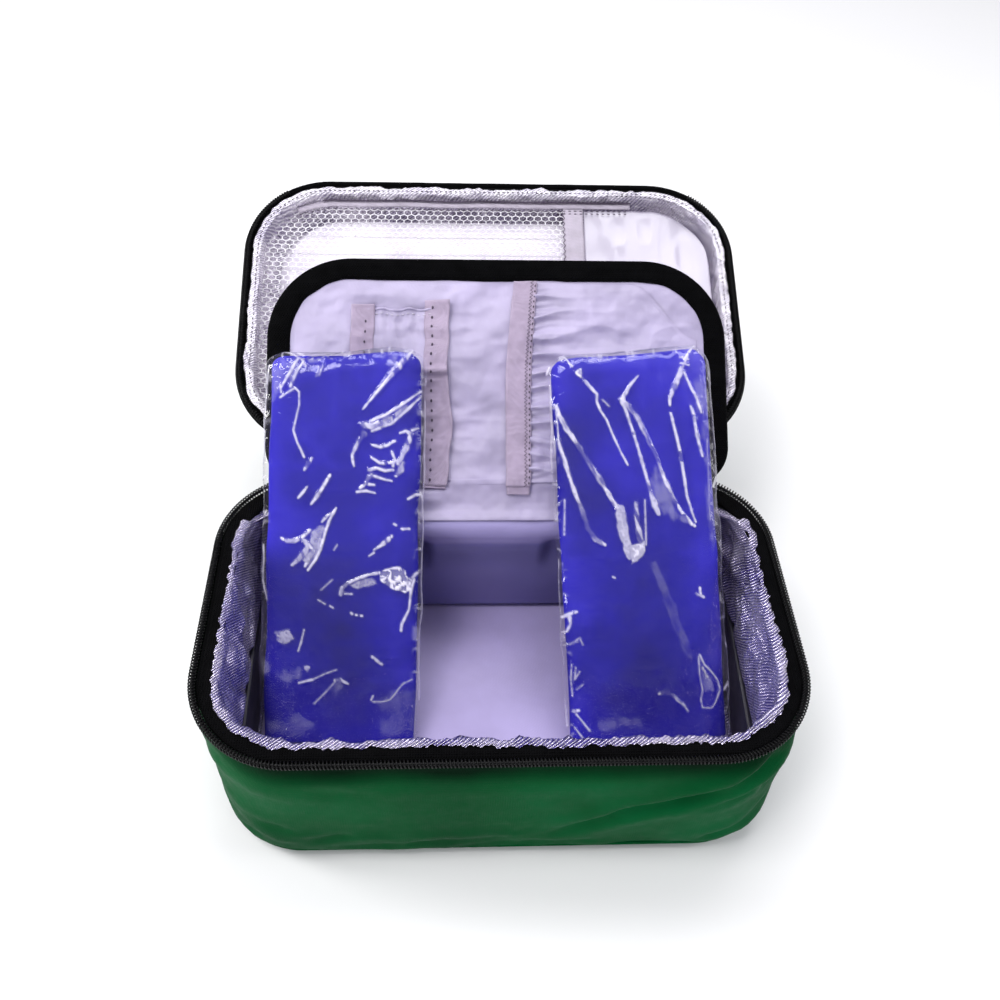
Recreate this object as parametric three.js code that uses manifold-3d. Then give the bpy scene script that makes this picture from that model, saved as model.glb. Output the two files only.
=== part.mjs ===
// Insulin cooling case: a soft zip-round cooler with a hinged lid, a fabric page
// that turns inside it, a padded inner tray and two gel packs in clear sleeves.
// Millimetres, +Z up, +Y to the rear (the lid's hinge side), +X to the right.
// The origin is the centre of the base's flat underside.
import * as THREE from 'three';
import { mergeVertices } from 'three/addons/utils/BufferGeometryUtils.js';
import Module from 'manifold-3d';

const wasm = await Module();
wasm.setup();

// ---------------------------------------------------------------- dimensions
const RIM_HX = 115;            // half width over the zipper teeth
const RIM_HY = 69;             // half depth over the zipper teeth
const RIM_R = 39;              // plan corner radius over the teeth
const CLOSE_Z = 74;            // height of the plane where lid and base meet
const LID_DEPTH = 26;          // depth of the lid, rim to top panel
const SHELL_T = 1.2;           // woven outer fabric with its backing
const FOAM_T = 3.4;            // insulating foam
const FOIL_T = 0.6;            // woven foil lining
const GAP = 0.3;               // clearance between touching layers
const TOOTH_W = 2.6;           // coil width, and
const TOOTH_H = 2.85;          // coil height
const TAPE_W = 6.8;            // tape showing inside the coil
const TAPE_T = 1.6;
const HINGE_Y = 74.3;          // lid fold axis, behind the base
const HINGE_Z = 76.24;
const LID_TILT = 21.8;         // open lid's rise above level, degrees
const PAGE_Y = 57.4;           // page fold axis
const PAGE_Z = 73.6;
const PAGE_TILT = 35;          // open page's rise above level, degrees
const PAGE_HW = 99.5;          // page half width
const PAGE_X = 1.5;            // page centre line
const PAGE_L = 102;            // page length from its fold
const PAGE_R = 36;             // page corner radius
const BIND_W = 10;             // binding tape on the page's edge
const FLOOR_TOP = 8.2;         // top of the tray's floor
const WALL_Y = 43.0;           // front face of the tray's rear wall
const ROLL_R = 7.2;            // rolled top edge of that wall
const ROLL_Z = 60.5;
const TRAY_X = 100.2;          // inner face of the tray's side walls
const PACK_L = 161;            // gel pack sleeve: length
const PACK_T = 13.8;           // thickness,
const PACK_R = 7;              // and corner rounding
const PACK_FOLD = 76;            // where the pack bends
const PACK_W_LEFT = 66, PACK_W_RIGHT = 69;       // widths as they lie
const LEFT_LOW = [-65.4, -31.9, 20.0];           // middle of the low end's top edge
const RIGHT_LOW = [63.2, -33.1, 20.3];
const LEFT_PITCH = 40.6, RIGHT_PITCH = 40.3;     // slope of the pack, degrees
const LEFT_TURN = 1.2, RIGHT_TURN = -2.9;        // turn of the pack in its own plane, degrees
const SLIDER_AT = 68;          // parked slider, degrees round the rear corner from the side
const COIL_END = 58;           // where the coil ends, the same way
const PAGE_LOW_R = 17;         // rounding of the page's corners beside its fold

// ------------------------------------------------------------------- helpers
const mats = {
  green: new THREE.MeshStandardMaterial({ color: 0x0b8a45, roughness: 0.75 }),
  foam: new THREE.MeshStandardMaterial({ color: 0xe6e6ea, roughness: 0.9 }),
  foil: new THREE.MeshStandardMaterial({ color: 0xc9c4d4, roughness: 0.3, metalness: 0.9 }),
  black: new THREE.MeshStandardMaterial({ color: 0x0b0b0d, roughness: 0.8 }),
  lavender: new THREE.MeshStandardMaterial({ color: 0xb9aed6, roughness: 0.6 }),
  mauve: new THREE.MeshStandardMaterial({ color: 0xb59fb8, roughness: 0.7 }),
  board: new THREE.MeshStandardMaterial({ color: 0xd8d8d8, roughness: 0.8 }),
  blue: new THREE.MeshStandardMaterial({ color: 0x2a22b8, roughness: 0.35 }),
  clear: new THREE.MeshStandardMaterial({ color: 0xe8ecff, roughness: 0.1, transparent: true, opacity: 0.35 }),
  mesh: new THREE.MeshStandardMaterial({ color: 0xe9e6f2, roughness: 0.6 }),
  metal: new THREE.MeshStandardMaterial({ color: 0x1a1a1c, roughness: 0.4, metalness: 0.6 }),
};

// A rounded rectangle as a closed counter-clockwise list of points.
function outline(hx, hy, r, cx = 0, cy = 0, n = 6) {
  const pts = [];
  for (const [sx, sy, a0] of [[1, 1, 0], [-1, 1, 90], [-1, -1, 180], [1, -1, 270]])
    for (let i = 0; i <= n; i++) {
      const a = THREE.MathUtils.degToRad(a0 + (90 * i) / n);
      pts.push([cx + sx * (hx - r) + r * Math.cos(a), cy + sy * (hy - r) + r * Math.sin(a)]);
    }
  return pts;
}

// A skin through closed loops of equal point count. A ring joins its last loop to its
// first; otherwise both ends are capped.
function loft(loops, ring = false) {
  const n = loops[0].length, pos = [], idx = [];
  for (const l of loops) for (const p of l) pos.push(...p);
  const m = loops.length, last = ring ? m : m - 1;
  for (let k = 0; k < last; k++)
    for (let i = 0; i < n; i++) {
      const a = k * n + i, b = k * n + ((i + 1) % n);
      const c = ((k + 1) % m) * n + ((i + 1) % n), d = ((k + 1) % m) * n + i;
      idx.push(a, b, c, a, c, d);
    }
  if (!ring)
    for (const [k, flip] of [[0, true], [m - 1, false]]) {
      const c = new THREE.Vector3();
      for (const p of loops[k]) c.add(new THREE.Vector3(...p));
      c.divideScalar(n);
      const at = pos.length / 3;
      pos.push(c.x, c.y, c.z);
      for (let i = 0; i < n; i++) {
        const a = k * n + i, b = k * n + ((i + 1) % n);
        idx.push(...(flip ? [at, b, a] : [at, a, b]));
      }
    }
  const g = new THREE.BufferGeometry();
  g.setAttribute('position', new THREE.Float32BufferAttribute(pos, 3));
  g.setIndex(idx);
  return g;
}

// An open tub: rows of [half x, half y, corner radius, z] up the outside, then down the inside.
const tub = (outer, inner) =>
  loft([...outer, ...inner].map(([hx, hy, r, z]) => outline(hx, hy, r).map(([x, y]) => [x, y, z])));

// A layer of thickness t inside a stack of outside rows, starting d in from them.
function layer(rows, d, t, top, n0 = 0) {
  const at = (k) => rows.map(([hx, hy, r, z]) => [hx - k, hy - k, Math.max(r - k, 4), z]);
  const o = at(d), i = at(d + t), base = rows[0][3];
  const fix = (list, lift) => list.map(([a, b, c, z], j) => [a, b, c, j === list.length - 1 ? top : Math.max(z, base + lift + (j ? 0.35 * j : 0))]);
  return [fix(o, d), fix(i, d + t).reverse()];
}

function solid(geo) {
  const g = geo.clone();
  g.deleteAttribute('normal');
  g.deleteAttribute('uv');
  const m = mergeVertices(g, 1e-4);
  const mesh = new wasm.Mesh({ numProp: 3, vertProperties: new Float32Array(m.attributes.position.array), triVerts: new Uint32Array(m.index.array) });
  return new wasm.Manifold(mesh);
}

function geometry(man) {
  const m = man.getMesh();
  const g = new THREE.BufferGeometry();
  const pos = new Float32Array(m.numVert * 3);
  for (let i = 0; i < m.numVert; i++) for (let k = 0; k < 3; k++) pos[3 * i + k] = m.vertProperties[i * m.numProp + k];
  g.setAttribute('position', new THREE.BufferAttribute(pos, 3));
  g.setIndex(new THREE.BufferAttribute(new Uint32Array(m.triVerts), 1));
  return g;
}

const shapeOf = (pts) => new THREE.Shape(pts.map(([x, y]) => new THREE.Vector2(x, y)));
function slab(pts, z0, z1, holes = []) {
  const s = shapeOf(pts);
  for (const h of holes) s.holes.push(new THREE.Path(h.map(([x, y]) => new THREE.Vector2(x, y))));
  return new THREE.ExtrudeGeometry(s, { depth: z1 - z0, bevelEnabled: false }).translate(0, 0, z0);
}
const box = (x0, x1, y0, y1, z0, z1) =>
  new THREE.BoxGeometry(x1 - x0, y1 - y0, z1 - z0).translate((x0 + x1) / 2, (y0 + y1) / 2, (z0 + z1) / 2);

function part(group, name, geo, mat) {
  const m = new THREE.Mesh(geo, mats[mat].clone());
  m.name = name;
  group.add(m);
  return m;
}

// The rim line offset inward by d, from one rear corner round the front to the other.
// The coil runs the whole way except along the rear, where the lid is sewn on.
function rimRun(d, endDeg, n = 7) {
  const hx = RIM_HX - d, hy = RIM_HY - d, r = RIM_R - d, pts = [];
  const arc = (cx, cy, a0, a1, k) => {
    for (let i = 0; i <= k; i++) {
      const a = THREE.MathUtils.degToRad(a0 + ((a1 - a0) * i) / k);
      pts.push([cx + r * Math.cos(a), cy + r * Math.sin(a)]);
    }
  };
  arc(hx - r, hy - r, endDeg, 0, 5);
  arc(hx - r, -(hy - r), 0, -90, n);
  arc(-(hx - r), -(hy - r), -90, -180, n);
  arc(-(hx - r), hy - r, 180, 180 - endDeg, 5);
  return pts;
}
function coil(z0, z1) {
  const out = rimRun(0, COIL_END), inn = rimRun(TOOTH_W, COIL_END).reverse();
  return slab([...inn, ...out], z0, z1);
}

const root = new THREE.Group();

// ---------------------------------------------------------------------- base
const BASE_ROWS = [
  [101, 61, 26, 0], [107.5, 67.5, 31, 2.5], [110.8, 70.3, 34, 8], [111.5, 71, 36, 22],
  [111.5, 70.6, 37, 44], [112.3, 67.3, 37.5, 70.6],
];
const BASE_TOP = 70.6;
{
  const inner = layer(BASE_ROWS, SHELL_T, 0.01, BASE_TOP)[0].map((r) => [...r]).reverse();
  part(root, 'base_outer_shell', tub(BASE_ROWS, inner), 'green');
  const [fo, fi] = layer(BASE_ROWS, SHELL_T + GAP, FOAM_T, BASE_TOP);
  part(root, 'base_foam', tub(fo, fi), 'foam');
  const [lo, li] = layer(BASE_ROWS, SHELL_T + 2 * GAP + FOAM_T, FOIL_T, BASE_TOP);
  part(root, 'base_foil_liner', tub(lo, li), 'foil');
}
const tapeRing = (z0, z1) =>
  slab(outline(RIM_HX - TOOTH_W - GAP, RIM_HY - TOOTH_W - GAP, RIM_R - TOOTH_W - GAP), z0, z1, [
    outline(RIM_HX - TOOTH_W - GAP - TAPE_W, RIM_HY - TOOTH_W - GAP - TAPE_W, RIM_R - TOOTH_W - GAP - TAPE_W).reverse(),
  ]);
part(root, 'base_zipper_tape', tapeRing(CLOSE_Z - 3.0, CLOSE_Z - 3.0 + TAPE_T), 'black');
part(root, 'base_zipper_coil', coil(CLOSE_Z - 0.15 - TOOTH_H, CLOSE_Z - 0.15), 'black');

// The sewn hinge strip along the rear, base half.
part(root, 'hinge_strip_base', box(-56, 56, 69.5, 70.3, 60, 75.2), 'green');
// The page's own fold strip, from the lining up to the page.
part(root, 'page_fold_strip', box(-76, 76, 58.0, 58.7, 60.8, 71.9), 'lavender');

// ---------------------------------------------------------------- inner tray
part(root, 'tray_floor_pad', slab(outline(99.5, 58, 25, 0, -1.5), FLOOR_TOP - 1.9, FLOOR_TOP), 'lavender');
{
  // rear wall with a rolled top edge, seen from the side (y across, z up)
  const s = [];
  s.push([WALL_Y, FLOOR_TOP + GAP], [WALL_Y + 7, FLOOR_TOP + GAP], [WALL_Y + 7, ROLL_Z - 6.5]);
  for (let i = 0; i <= 12; i++) {
    const a = THREE.MathUtils.degToRad(-60 + (240 * i) / 12);
    s.push([WALL_Y + ROLL_R + ROLL_R * Math.cos(a), ROLL_Z + ROLL_R * Math.sin(a)]);
  }
  const g = new THREE.ExtrudeGeometry(shapeOf(s), { depth: 172, bevelEnabled: false });
  g.translate(0, 0, -86);
  // shape x -> row y, shape y -> row z, depth -> row x
  g.applyMatrix4(new THREE.Matrix4().makeBasis(new THREE.Vector3(0, 1, 0), new THREE.Vector3(0, 0, 1), new THREE.Vector3(1, 0, 0)));
  part(root, 'tray_rear_wall', g, 'lavender');
}
part(root, 'tray_side_left', box(-TRAY_X - 2.8, -TRAY_X, -36, 32, FLOOR_TOP + GAP + 1, 52), 'lavender');
part(root, 'tray_side_right', box(TRAY_X, TRAY_X + 2.8, -36, 32, FLOOR_TOP + GAP + 1, 52), 'lavender');

// ----------------------------------------------------------------------- lid
// Drawn lying fully open and level, opening up, then turned up by its tilt.
const RIM_Z = HINGE_Z - CLOSE_Z - 0.15;  // the lid's rim above the fold axis when level
const lid = new THREE.Group();
lid.position.set(0, HINGE_Y, HINGE_Z);
lid.rotation.x = THREE.MathUtils.degToRad(LID_TILT);
root.add(lid);
const lidBody = new THREE.Group();
lidBody.position.set(0, HINGE_Y, RIM_Z - LID_DEPTH);
lid.add(lidBody);
const LID_ROWS = [
  [98, 52, 26, 0], [106, 60.5, 31, 1.6], [109.5, 64.2, 35, 5], [111.5, 66.3, 37, 12], [112.3, 67.3, 37.5, LID_DEPTH - 3.3],
];
const LID_TOP = LID_DEPTH - 3.3;
{
  const inner = layer(LID_ROWS, SHELL_T, 0.01, LID_TOP)[0].map((r) => [...r]).reverse();
  part(lidBody, 'lid_outer_shell', tub(LID_ROWS, inner), 'green');
  const [fo, fi] = layer(LID_ROWS, SHELL_T + GAP, FOAM_T - 0.4, LID_TOP);
  part(lidBody, 'lid_foam', tub(fo, fi), 'foam');
  const [lo, li] = layer(LID_ROWS, SHELL_T + 2 * GAP + FOAM_T - 0.4, FOIL_T, LID_TOP);
  part(lidBody, 'lid_foil_liner', tub(lo, li), 'foil');
}
part(lidBody, 'lid_zipper_tape', tapeRing(LID_DEPTH - 2.85, LID_DEPTH - 2.85 + TAPE_T), 'black');
part(lidBody, 'lid_zipper_coil', coil(LID_DEPTH - TOOTH_H, LID_DEPTH), 'black');
part(lidBody, 'hinge_strip_lid', box(-56, 56, -70.3, -69.5, 12, LID_DEPTH - 1.2), 'green');
{
  // pockets stretched across the lid's mouth, sewn in just below the rim
  const z = 18.2;
  part(lidBody, 'lid_mesh_pocket', slab([[-105, -28], [-101.5, -44], [-91, -55.5], [-76, -59.5], [35, -59.5], [35, 56.5], [-76, 56.5], [-91, 53.5], [-101.5, 43], [-105, 28]], z, z + 0.8), 'mesh');
  part(lidBody, 'lid_pocket_tape', box(35.4, 45, -59.5, 56.5, z, z + 1.2), 'mauve');
  part(lidBody, 'lid_clear_pocket', slab([[45.4, -59.5], [76, -59.5], [91, -55.5], [101.5, -44], [105, -28], [105, 28], [101.5, 43], [91, 53.5], [80, 56.5], [45.4, 56.5]], z, z + 0.8), 'clear');
  part(lidBody, 'lid_pocket_hem', box(-78, 66, 57, 59.6, z, z + 1.6), 'lavender');
}

// ---------------------------------------------------------------------- page
const page = new THREE.Group();
page.position.set(PAGE_X, PAGE_Y, PAGE_Z);
page.rotation.x = THREE.MathUtils.degToRad(PAGE_TILT);
root.add(page);
// a panel with small round lower corners and large round upper ones
function panel(hw, u0, u1, r, n = 7, q = PAGE_LOW_R) {
  const p = [];
  for (let i = 0; i <= 4; i++) { const a = Math.PI + (Math.PI / 2) * (i / 4); p.push([-hw + q + q * Math.cos(a), u0 + q + q * Math.sin(a)]); }
  for (let i = 0; i <= 4; i++) { const a = -Math.PI / 2 + (Math.PI / 2) * (i / 4); p.push([hw - q + q * Math.cos(a), u0 + q + q * Math.sin(a)]); }
  for (let i = 0; i <= n; i++) { const a = (Math.PI / 2) * (i / n); p.push([hw - r + r * Math.cos(a), u1 - r + r * Math.sin(a)]); }
  for (let i = 0; i <= n; i++) { const a = Math.PI / 2 + (Math.PI / 2) * (i / n); p.push([-hw + r + r * Math.cos(a), u1 - r + r * Math.sin(a)]); }
  return p;
}
const U0 = 2.2;
part(page, 'page_board', slab(panel(PAGE_HW - 1.6, U0 + 0.3, PAGE_L - 1.6, PAGE_R - 1.6, 7, PAGE_LOW_R - 1.3), -0.6, 0.6), 'board');
part(page, 'page_front_cover', slab(panel(PAGE_HW - 1.6, U0 + 0.3, PAGE_L - 1.6, PAGE_R - 1.6, 7, PAGE_LOW_R - 1.3), 0.9, 1.4), 'lavender');
part(page, 'page_rear_cover', slab(panel(PAGE_HW - 1.6, U0 + 0.3, PAGE_L - 1.6, PAGE_R - 1.6, 7, PAGE_LOW_R - 1.3), -1.4, -0.9), 'lavender');
{
  const outer = panel(PAGE_HW, U0, PAGE_L, PAGE_R), i1 = PAGE_HW - BIND_W, rr = PAGE_R - BIND_W;
  const whole = solid(slab(outer, -2.1, 2.1));
  const window_ = solid(slab(panel(i1, U0 - 5, PAGE_L - BIND_W, rr, 7, PAGE_LOW_R - 2), -5, 5));
  const slot = solid(slab(panel(PAGE_HW - 1.3, U0 + 0.0, PAGE_L - 1.3, PAGE_R - 1.3, 7, PAGE_LOW_R - 1.0), -1.7, 1.7));
  part(page, 'page_binding', geometry(whole.subtract(window_).subtract(slot)), 'black');
}
const PX = -PAGE_X;
part(page, 'page_left_pocket', box(PX - 62, PX - 19.5, 4, 79, 1.7, 2.3), 'lavender');
part(page, 'left_pocket_outer_tape', box(PX - 62, PX - 52, 4, 80.5, 2.6, 3.3), 'mauve');
part(page, 'left_pocket_inner_tape', box(PX - 30.4, PX - 19.5, 4, 83.5, 2.6, 3.3), 'mauve');
part(page, 'page_centre_tape', slab([[PX + 4.5, 4], [PX + 14.5, 4], [PX + 17.8, 91], [PX + 7.7, 91]], 2.6, 3.3), 'mauve');
part(page, 'page_right_pocket', slab([[PX + 5, 4], [PX + 88, 4], [PX + 88, 72], [PX + 17, 78], [PX + 8, 78]], 1.7, 2.3), 'lavender');

// ----------------------------------------------------------------- gel packs
// A pack lies from its low end to its high end; each is one soft pouch in one
// clear sleeve, drawn as two halves either side of the bend.
function pack(side, low, width, pitch, turn) {
  const g = new THREE.Group();
  g.position.set(...low);
  g.rotation.x = THREE.MathUtils.degToRad(pitch);
  root.add(g);
  const t_ = new THREE.Group();
  t_.rotation.z = THREE.MathUtils.degToRad(-turn);
  g.add(t_);
  const h = width / 2, ph = h - 2.6, T = PACK_T;
  const pouch = (u0, u1, roundLow) => {
    // a pillow in section, thinning to its sealed end
    const rows = [];
    const L = u1 - u0;
    const lens = roundLow ? [[0, 0.35, 5.5], [1.6, 0.5, 2.4], [5, 0.75, 0.3], [14, 1, 0], [L, 1, 0]]
      : [[0, 1, 0], [L - 14, 1, 0], [L - 8, 0.85, 1], [L - 4, 0.65, 3], [L, 0.35, 6.5]];
    for (const [d, k, inset] of lens) {
      const t = (T - 1.4) * k, zc = -T / 2;
      rows.push(outline(ph - inset, t / 2, Math.min(t / 2 - 0.01, 4), 0, zc, 2).map(([x, z]) => [x, u0 + d, z]));
    }
    return loft(rows.map((r) => r.slice().reverse()));
  };
  const F = PACK_FOLD;
  part(t_, `gel_pack_${side}_lower`, pouch(3.2, F - 0.3, true), 'blue');
  part(t_, `gel_pack_${side}_upper`, pouch(F + 0.3, PACK_L - 4, false), 'blue');
  const round = slab(outline(h, PACK_L / 2, PACK_R, 0, PACK_L / 2, 3), -T, 0);
  const low_ = solid(round).intersect(solid(box(-h - 1, h + 1, -1, F - 0.3, -T - 1, 1))).subtract(solid(slab(outline(ph + 0.3, PACK_L / 2 - 2.6, PACK_R - 2.3, 0, PACK_L / 2, 3), -T + 0.4, -0.4)));
  const up_ = solid(round).intersect(solid(box(-h - 1, h + 1, F + 0.3, PACK_L + 1, -T - 1, 1))).subtract(solid(slab([[-ph - 0.3, F - 5], [ph + 0.3, F - 5], [ph + 0.3, PACK_L - 8], [ph - 4, PACK_L + 5], [-ph + 4, PACK_L + 5], [-ph - 0.3, PACK_L - 8]], -T + 0.4, -0.4)));
  part(t_, `sleeve_${side}_lower`, geometry(low_), 'clear');
  part(t_, `sleeve_${side}_upper`, geometry(up_), 'clear');
}
pack('left', LEFT_LOW, PACK_W_LEFT, LEFT_PITCH, LEFT_TURN);
pack('right', RIGHT_LOW, PACK_W_RIGHT, RIGHT_PITCH, RIGHT_TURN);

// ------------------------------------------------------------ zipper sliders
// Each parks at the rear end of the coil, and follows it round the corner.
function slider(side, sx) {
  const a = THREE.MathUtils.degToRad(SLIDER_AT);
  const g = new THREE.Group();
  const cx = sx * (RIM_HX - RIM_R), cy = RIM_HY - RIM_R;
  g.position.set(cx, cy, 0);
  g.rotation.z = sx > 0 ? a : Math.PI - a;     // local +X points straight out from the corner
  root.add(g);
  const R = RIM_R;
  const s = [[R - 0.7, CLOSE_Z - 3.7], [R - 0.7, CLOSE_Z - 5.8], [R + 3.4, CLOSE_Z - 5.8], [R + 3.4, CLOSE_Z - 0.4], [R + 0.9, CLOSE_Z - 0.4], [R + 0.9, CLOSE_Z - 3.7]];
  const geo = new THREE.ExtrudeGeometry(shapeOf(s), { depth: 11, bevelEnabled: false }).translate(0, 0, -5.5);
  // shape x -> out, shape y -> up, depth -> along the coil
  geo.applyMatrix4(new THREE.Matrix4().makeBasis(new THREE.Vector3(1, 0, 0), new THREE.Vector3(0, 0, 1), new THREE.Vector3(0, -1, 0)));
  part(g, `zipper_slider_${side}`, geo, 'metal');
  const tab = outline(2.6, 10.5, 2.4, 0, 0, 3).map(([y, z]) => [y, z]);
  const t = new THREE.ExtrudeGeometry(shapeOf(tab), { depth: 1.3, bevelEnabled: false });
  t.applyMatrix4(new THREE.Matrix4().makeBasis(new THREE.Vector3(0, 1, 0), new THREE.Vector3(0, 0, 1), new THREE.Vector3(1, 0, 0)));
  t.translate(R + 3.8, 0, CLOSE_Z - 12.5);
  part(g, `zipper_pull_${side}`, t, 'metal');
}
slider('left', -1);
slider('right', 1);

export default root;
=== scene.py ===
import math

import bpy
import numpy as np
from mathutils import Matrix, Vector


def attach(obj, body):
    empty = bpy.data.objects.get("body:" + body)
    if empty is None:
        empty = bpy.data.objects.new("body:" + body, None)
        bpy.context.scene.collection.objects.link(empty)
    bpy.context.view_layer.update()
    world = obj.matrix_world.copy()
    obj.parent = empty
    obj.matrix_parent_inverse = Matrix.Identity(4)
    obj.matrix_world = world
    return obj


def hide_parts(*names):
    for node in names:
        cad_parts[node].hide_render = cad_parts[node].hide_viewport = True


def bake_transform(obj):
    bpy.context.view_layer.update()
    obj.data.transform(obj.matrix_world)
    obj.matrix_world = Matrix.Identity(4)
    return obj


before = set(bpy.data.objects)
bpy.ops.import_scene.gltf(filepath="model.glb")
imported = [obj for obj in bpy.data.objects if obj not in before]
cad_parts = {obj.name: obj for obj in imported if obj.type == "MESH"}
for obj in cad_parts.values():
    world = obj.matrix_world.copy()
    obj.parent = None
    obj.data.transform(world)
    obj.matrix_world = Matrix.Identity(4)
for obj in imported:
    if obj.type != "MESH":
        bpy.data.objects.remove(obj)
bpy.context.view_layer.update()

# Everything below is worked out in millimetres in the row frame and written in metres.
MM = 0.001
RIM_HX, RIM_HY, RIM_R = 115.0, 69.0, 39.0
CLOSE_Z = 74.0
HINGE_Y, HINGE_Z, LID_TILT, LID_DEPTH = 74.3, 76.24, 21.8, 26.0
PAGE_X, PAGE_Y, PAGE_Z, PAGE_TILT = 1.5, 57.4, 73.6, 35.0
PAGE_HW, PAGE_L, PAGE_R, PAGE_LOW_R, BIND_W = 99.5, 102.0, 36.0, 17.0, 10.0
PACK_L, PACK_T, PACK_FOLD = 161.0, 13.8, 76.0
PACKS = {
    "left": dict(low=(-65.4, -31.9, 20.0), width=66.0, pitch=40.6, turn=1.2),
    "right": dict(low=(63.2, -33.1, 20.3), width=69.0, pitch=40.3, turn=-2.9),
}


# ------------------------------------------------------------------ frames
def rotx(P, deg):
    a = math.radians(deg)
    c, s = math.cos(a), math.sin(a)
    x, y, z = P[..., 0], P[..., 1], P[..., 2]
    return np.stack([x, y * c - z * s, y * s + z * c], -1)


def lid_to_row(P):
    """Lid coordinates: x, y from the lid's middle, z up from its outer panel."""
    Q = np.array(P, float)
    Q[..., 1] += HINGE_Y
    Q[..., 2] += HINGE_Z - CLOSE_Z - 0.15 - LID_DEPTH
    return rotx(Q, LID_TILT) + np.array([0, HINGE_Y, HINGE_Z])


def page_to_row(P):
    return rotx(np.array(P, float), PAGE_TILT) + np.array([PAGE_X, PAGE_Y, PAGE_Z])


def pack_to_row(side):
    d = PACKS[side]
    t = math.radians(-d["turn"])
    c, s = math.cos(t), math.sin(t)

    def f(P):
        P = np.array(P, float)
        x, y, z = P[..., 0], P[..., 1], P[..., 2]
        Q = np.stack([x * c - y * s, x * s + y * c, z], -1)
        return rotx(Q, d["pitch"]) + np.array(d["low"])

    return f


def same(P):
    return np.array(P, float)


# ------------------------------------------------------------------- noise
def _hash(i, seed):
    n = (i[..., 0] * 73856093) ^ (i[..., 1] * 19349663) ^ (i[..., 2] * 83492791) ^ (seed * 2654435761)
    n = n & 0xFFFFFFFF
    n = ((n ^ (n >> 15)) * 2246822519) & 0xFFFFFFFF
    n = ((n ^ (n >> 13)) * 3266489917) & 0xFFFFFFFF
    return ((n ^ (n >> 16)) & 0xFFFFFF) / float(0xFFFFFF)


def vnoise(P, seed=0):
    """Smooth value noise from -1 to 1."""
    i = np.floor(P).astype(np.int64)
    f = P - i
    u = f * f * f * (f * (f * 6 - 15) + 10)
    out = np.zeros(P.shape[:-1])
    for dx in (0, 1):
        for dy in (0, 1):
            for dz in (0, 1):
                w = (u[..., 0] if dx else 1 - u[..., 0]) * (u[..., 1] if dy else 1 - u[..., 1]) * (u[..., 2] if dz else 1 - u[..., 2])
                out = out + w * _hash(i + np.array([dx, dy, dz]), seed)
    return out * 2 - 1


def fbm(P, seed=0, octaves=3, gain=0.5):
    out, a, k = 0, 1.0, 1.0
    for o in range(octaves):
        out = out + a * vnoise(P * k, seed + 17 * o)
        a *= gain
        k *= 2.03
    return out


def creased(P, seed=0, octaves=3, gain=0.55):
    """Sharp-edged folds: ridges where the noise crosses zero."""
    out, a, k = 0, 1.0, 1.0
    for o in range(octaves):
        out = out + a * (0.55 - np.abs(vnoise(P * k, seed + 31 * o)) * 1.6)
        a *= gain
        k *= 1.93
    return out


def facets(P, seed=0):
    """Crumpled facets: distance to the nearest of scattered points, sharp where two meet."""
    base = np.floor(P).astype(np.int64)
    best = np.full(P.shape[:-1], 9.0)
    for dx in (-1, 0, 1):
        for dy in (-1, 0, 1):
            for dz in (-1, 0, 1):
                c = base + np.array([dx, dy, dz])
                q = np.stack([_hash(c, seed), _hash(c, seed + 101), _hash(c, seed + 202)], -1) + c
                best = np.minimum(best, np.sqrt(((P - q) ** 2).sum(-1)))
    return best


def smooth01(a, b, x):
    t = np.clip((np.asarray(x, float) - a) / (b - a), 0, 1)
    return t * t * (3 - 2 * t)


# ------------------------------------------------------------------ meshes
def build(name, V, quads=(), tris=(), mat=None, smooth=True, attr=None):
    V = np.asarray(V, float).reshape(-1, 3) * MM
    q = np.asarray(quads, np.int64).reshape(-1, 4) if len(quads) else np.zeros((0, 4), np.int64)
    t = np.asarray(tris, np.int64).reshape(-1, 3) if len(tris) else np.zeros((0, 3), np.int64)
    me = bpy.data.meshes.new(name)
    me.vertices.add(len(V))
    me.vertices.foreach_set("co", V.ravel())
    loops = np.concatenate([q.ravel(), t.ravel()])
    me.loops.add(len(loops))
    me.loops.foreach_set("vertex_index", loops.astype(np.int32))
    starts = np.concatenate([np.arange(len(q)) * 4, len(q) * 4 + np.arange(len(t)) * 3])
    me.polygons.add(len(q) + len(t))
    me.polygons.foreach_set("loop_start", starts.astype(np.int32))
    me.update(calc_edges=True)
    me.validate()
    me.polygons.foreach_set("use_smooth", np.full(len(me.polygons), smooth))
    for k, v in (attr or {}).items():
        a = me.attributes.new(k, "FLOAT", "POINT")
        a.data.foreach_set("value", np.asarray(v, np.float32).ravel())
    o = bpy.data.objects.new(name, me)
    bpy.context.scene.collection.objects.link(o)
    if mat is not None:
        me.materials.append(mat)
    return o


def grid_quads(nu, nv, wrap=False, off=0, flip=False):
    i = np.arange(nu if wrap else nu - 1)
    j = np.arange(nv - 1)
    I, J = np.meshgrid(i, j, indexing="ij")
    K = (I + 1) % nu
    q = np.stack([I * nv + J, K * nv + J, K * nv + J + 1, I * nv + J + 1], -1).reshape(-1, 4) + off
    return q[:, ::-1] if flip else q


def grid_normals(P, wrap=False):
    if wrap:
        du = np.roll(P, -1, 0) - np.roll(P, 1, 0)
    else:
        du = np.gradient(P, axis=0)
    dv = np.gradient(P, axis=1)
    n = np.cross(du, dv)
    return n / np.maximum(np.linalg.norm(n, axis=-1, keepdims=True), 1e-9)


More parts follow.
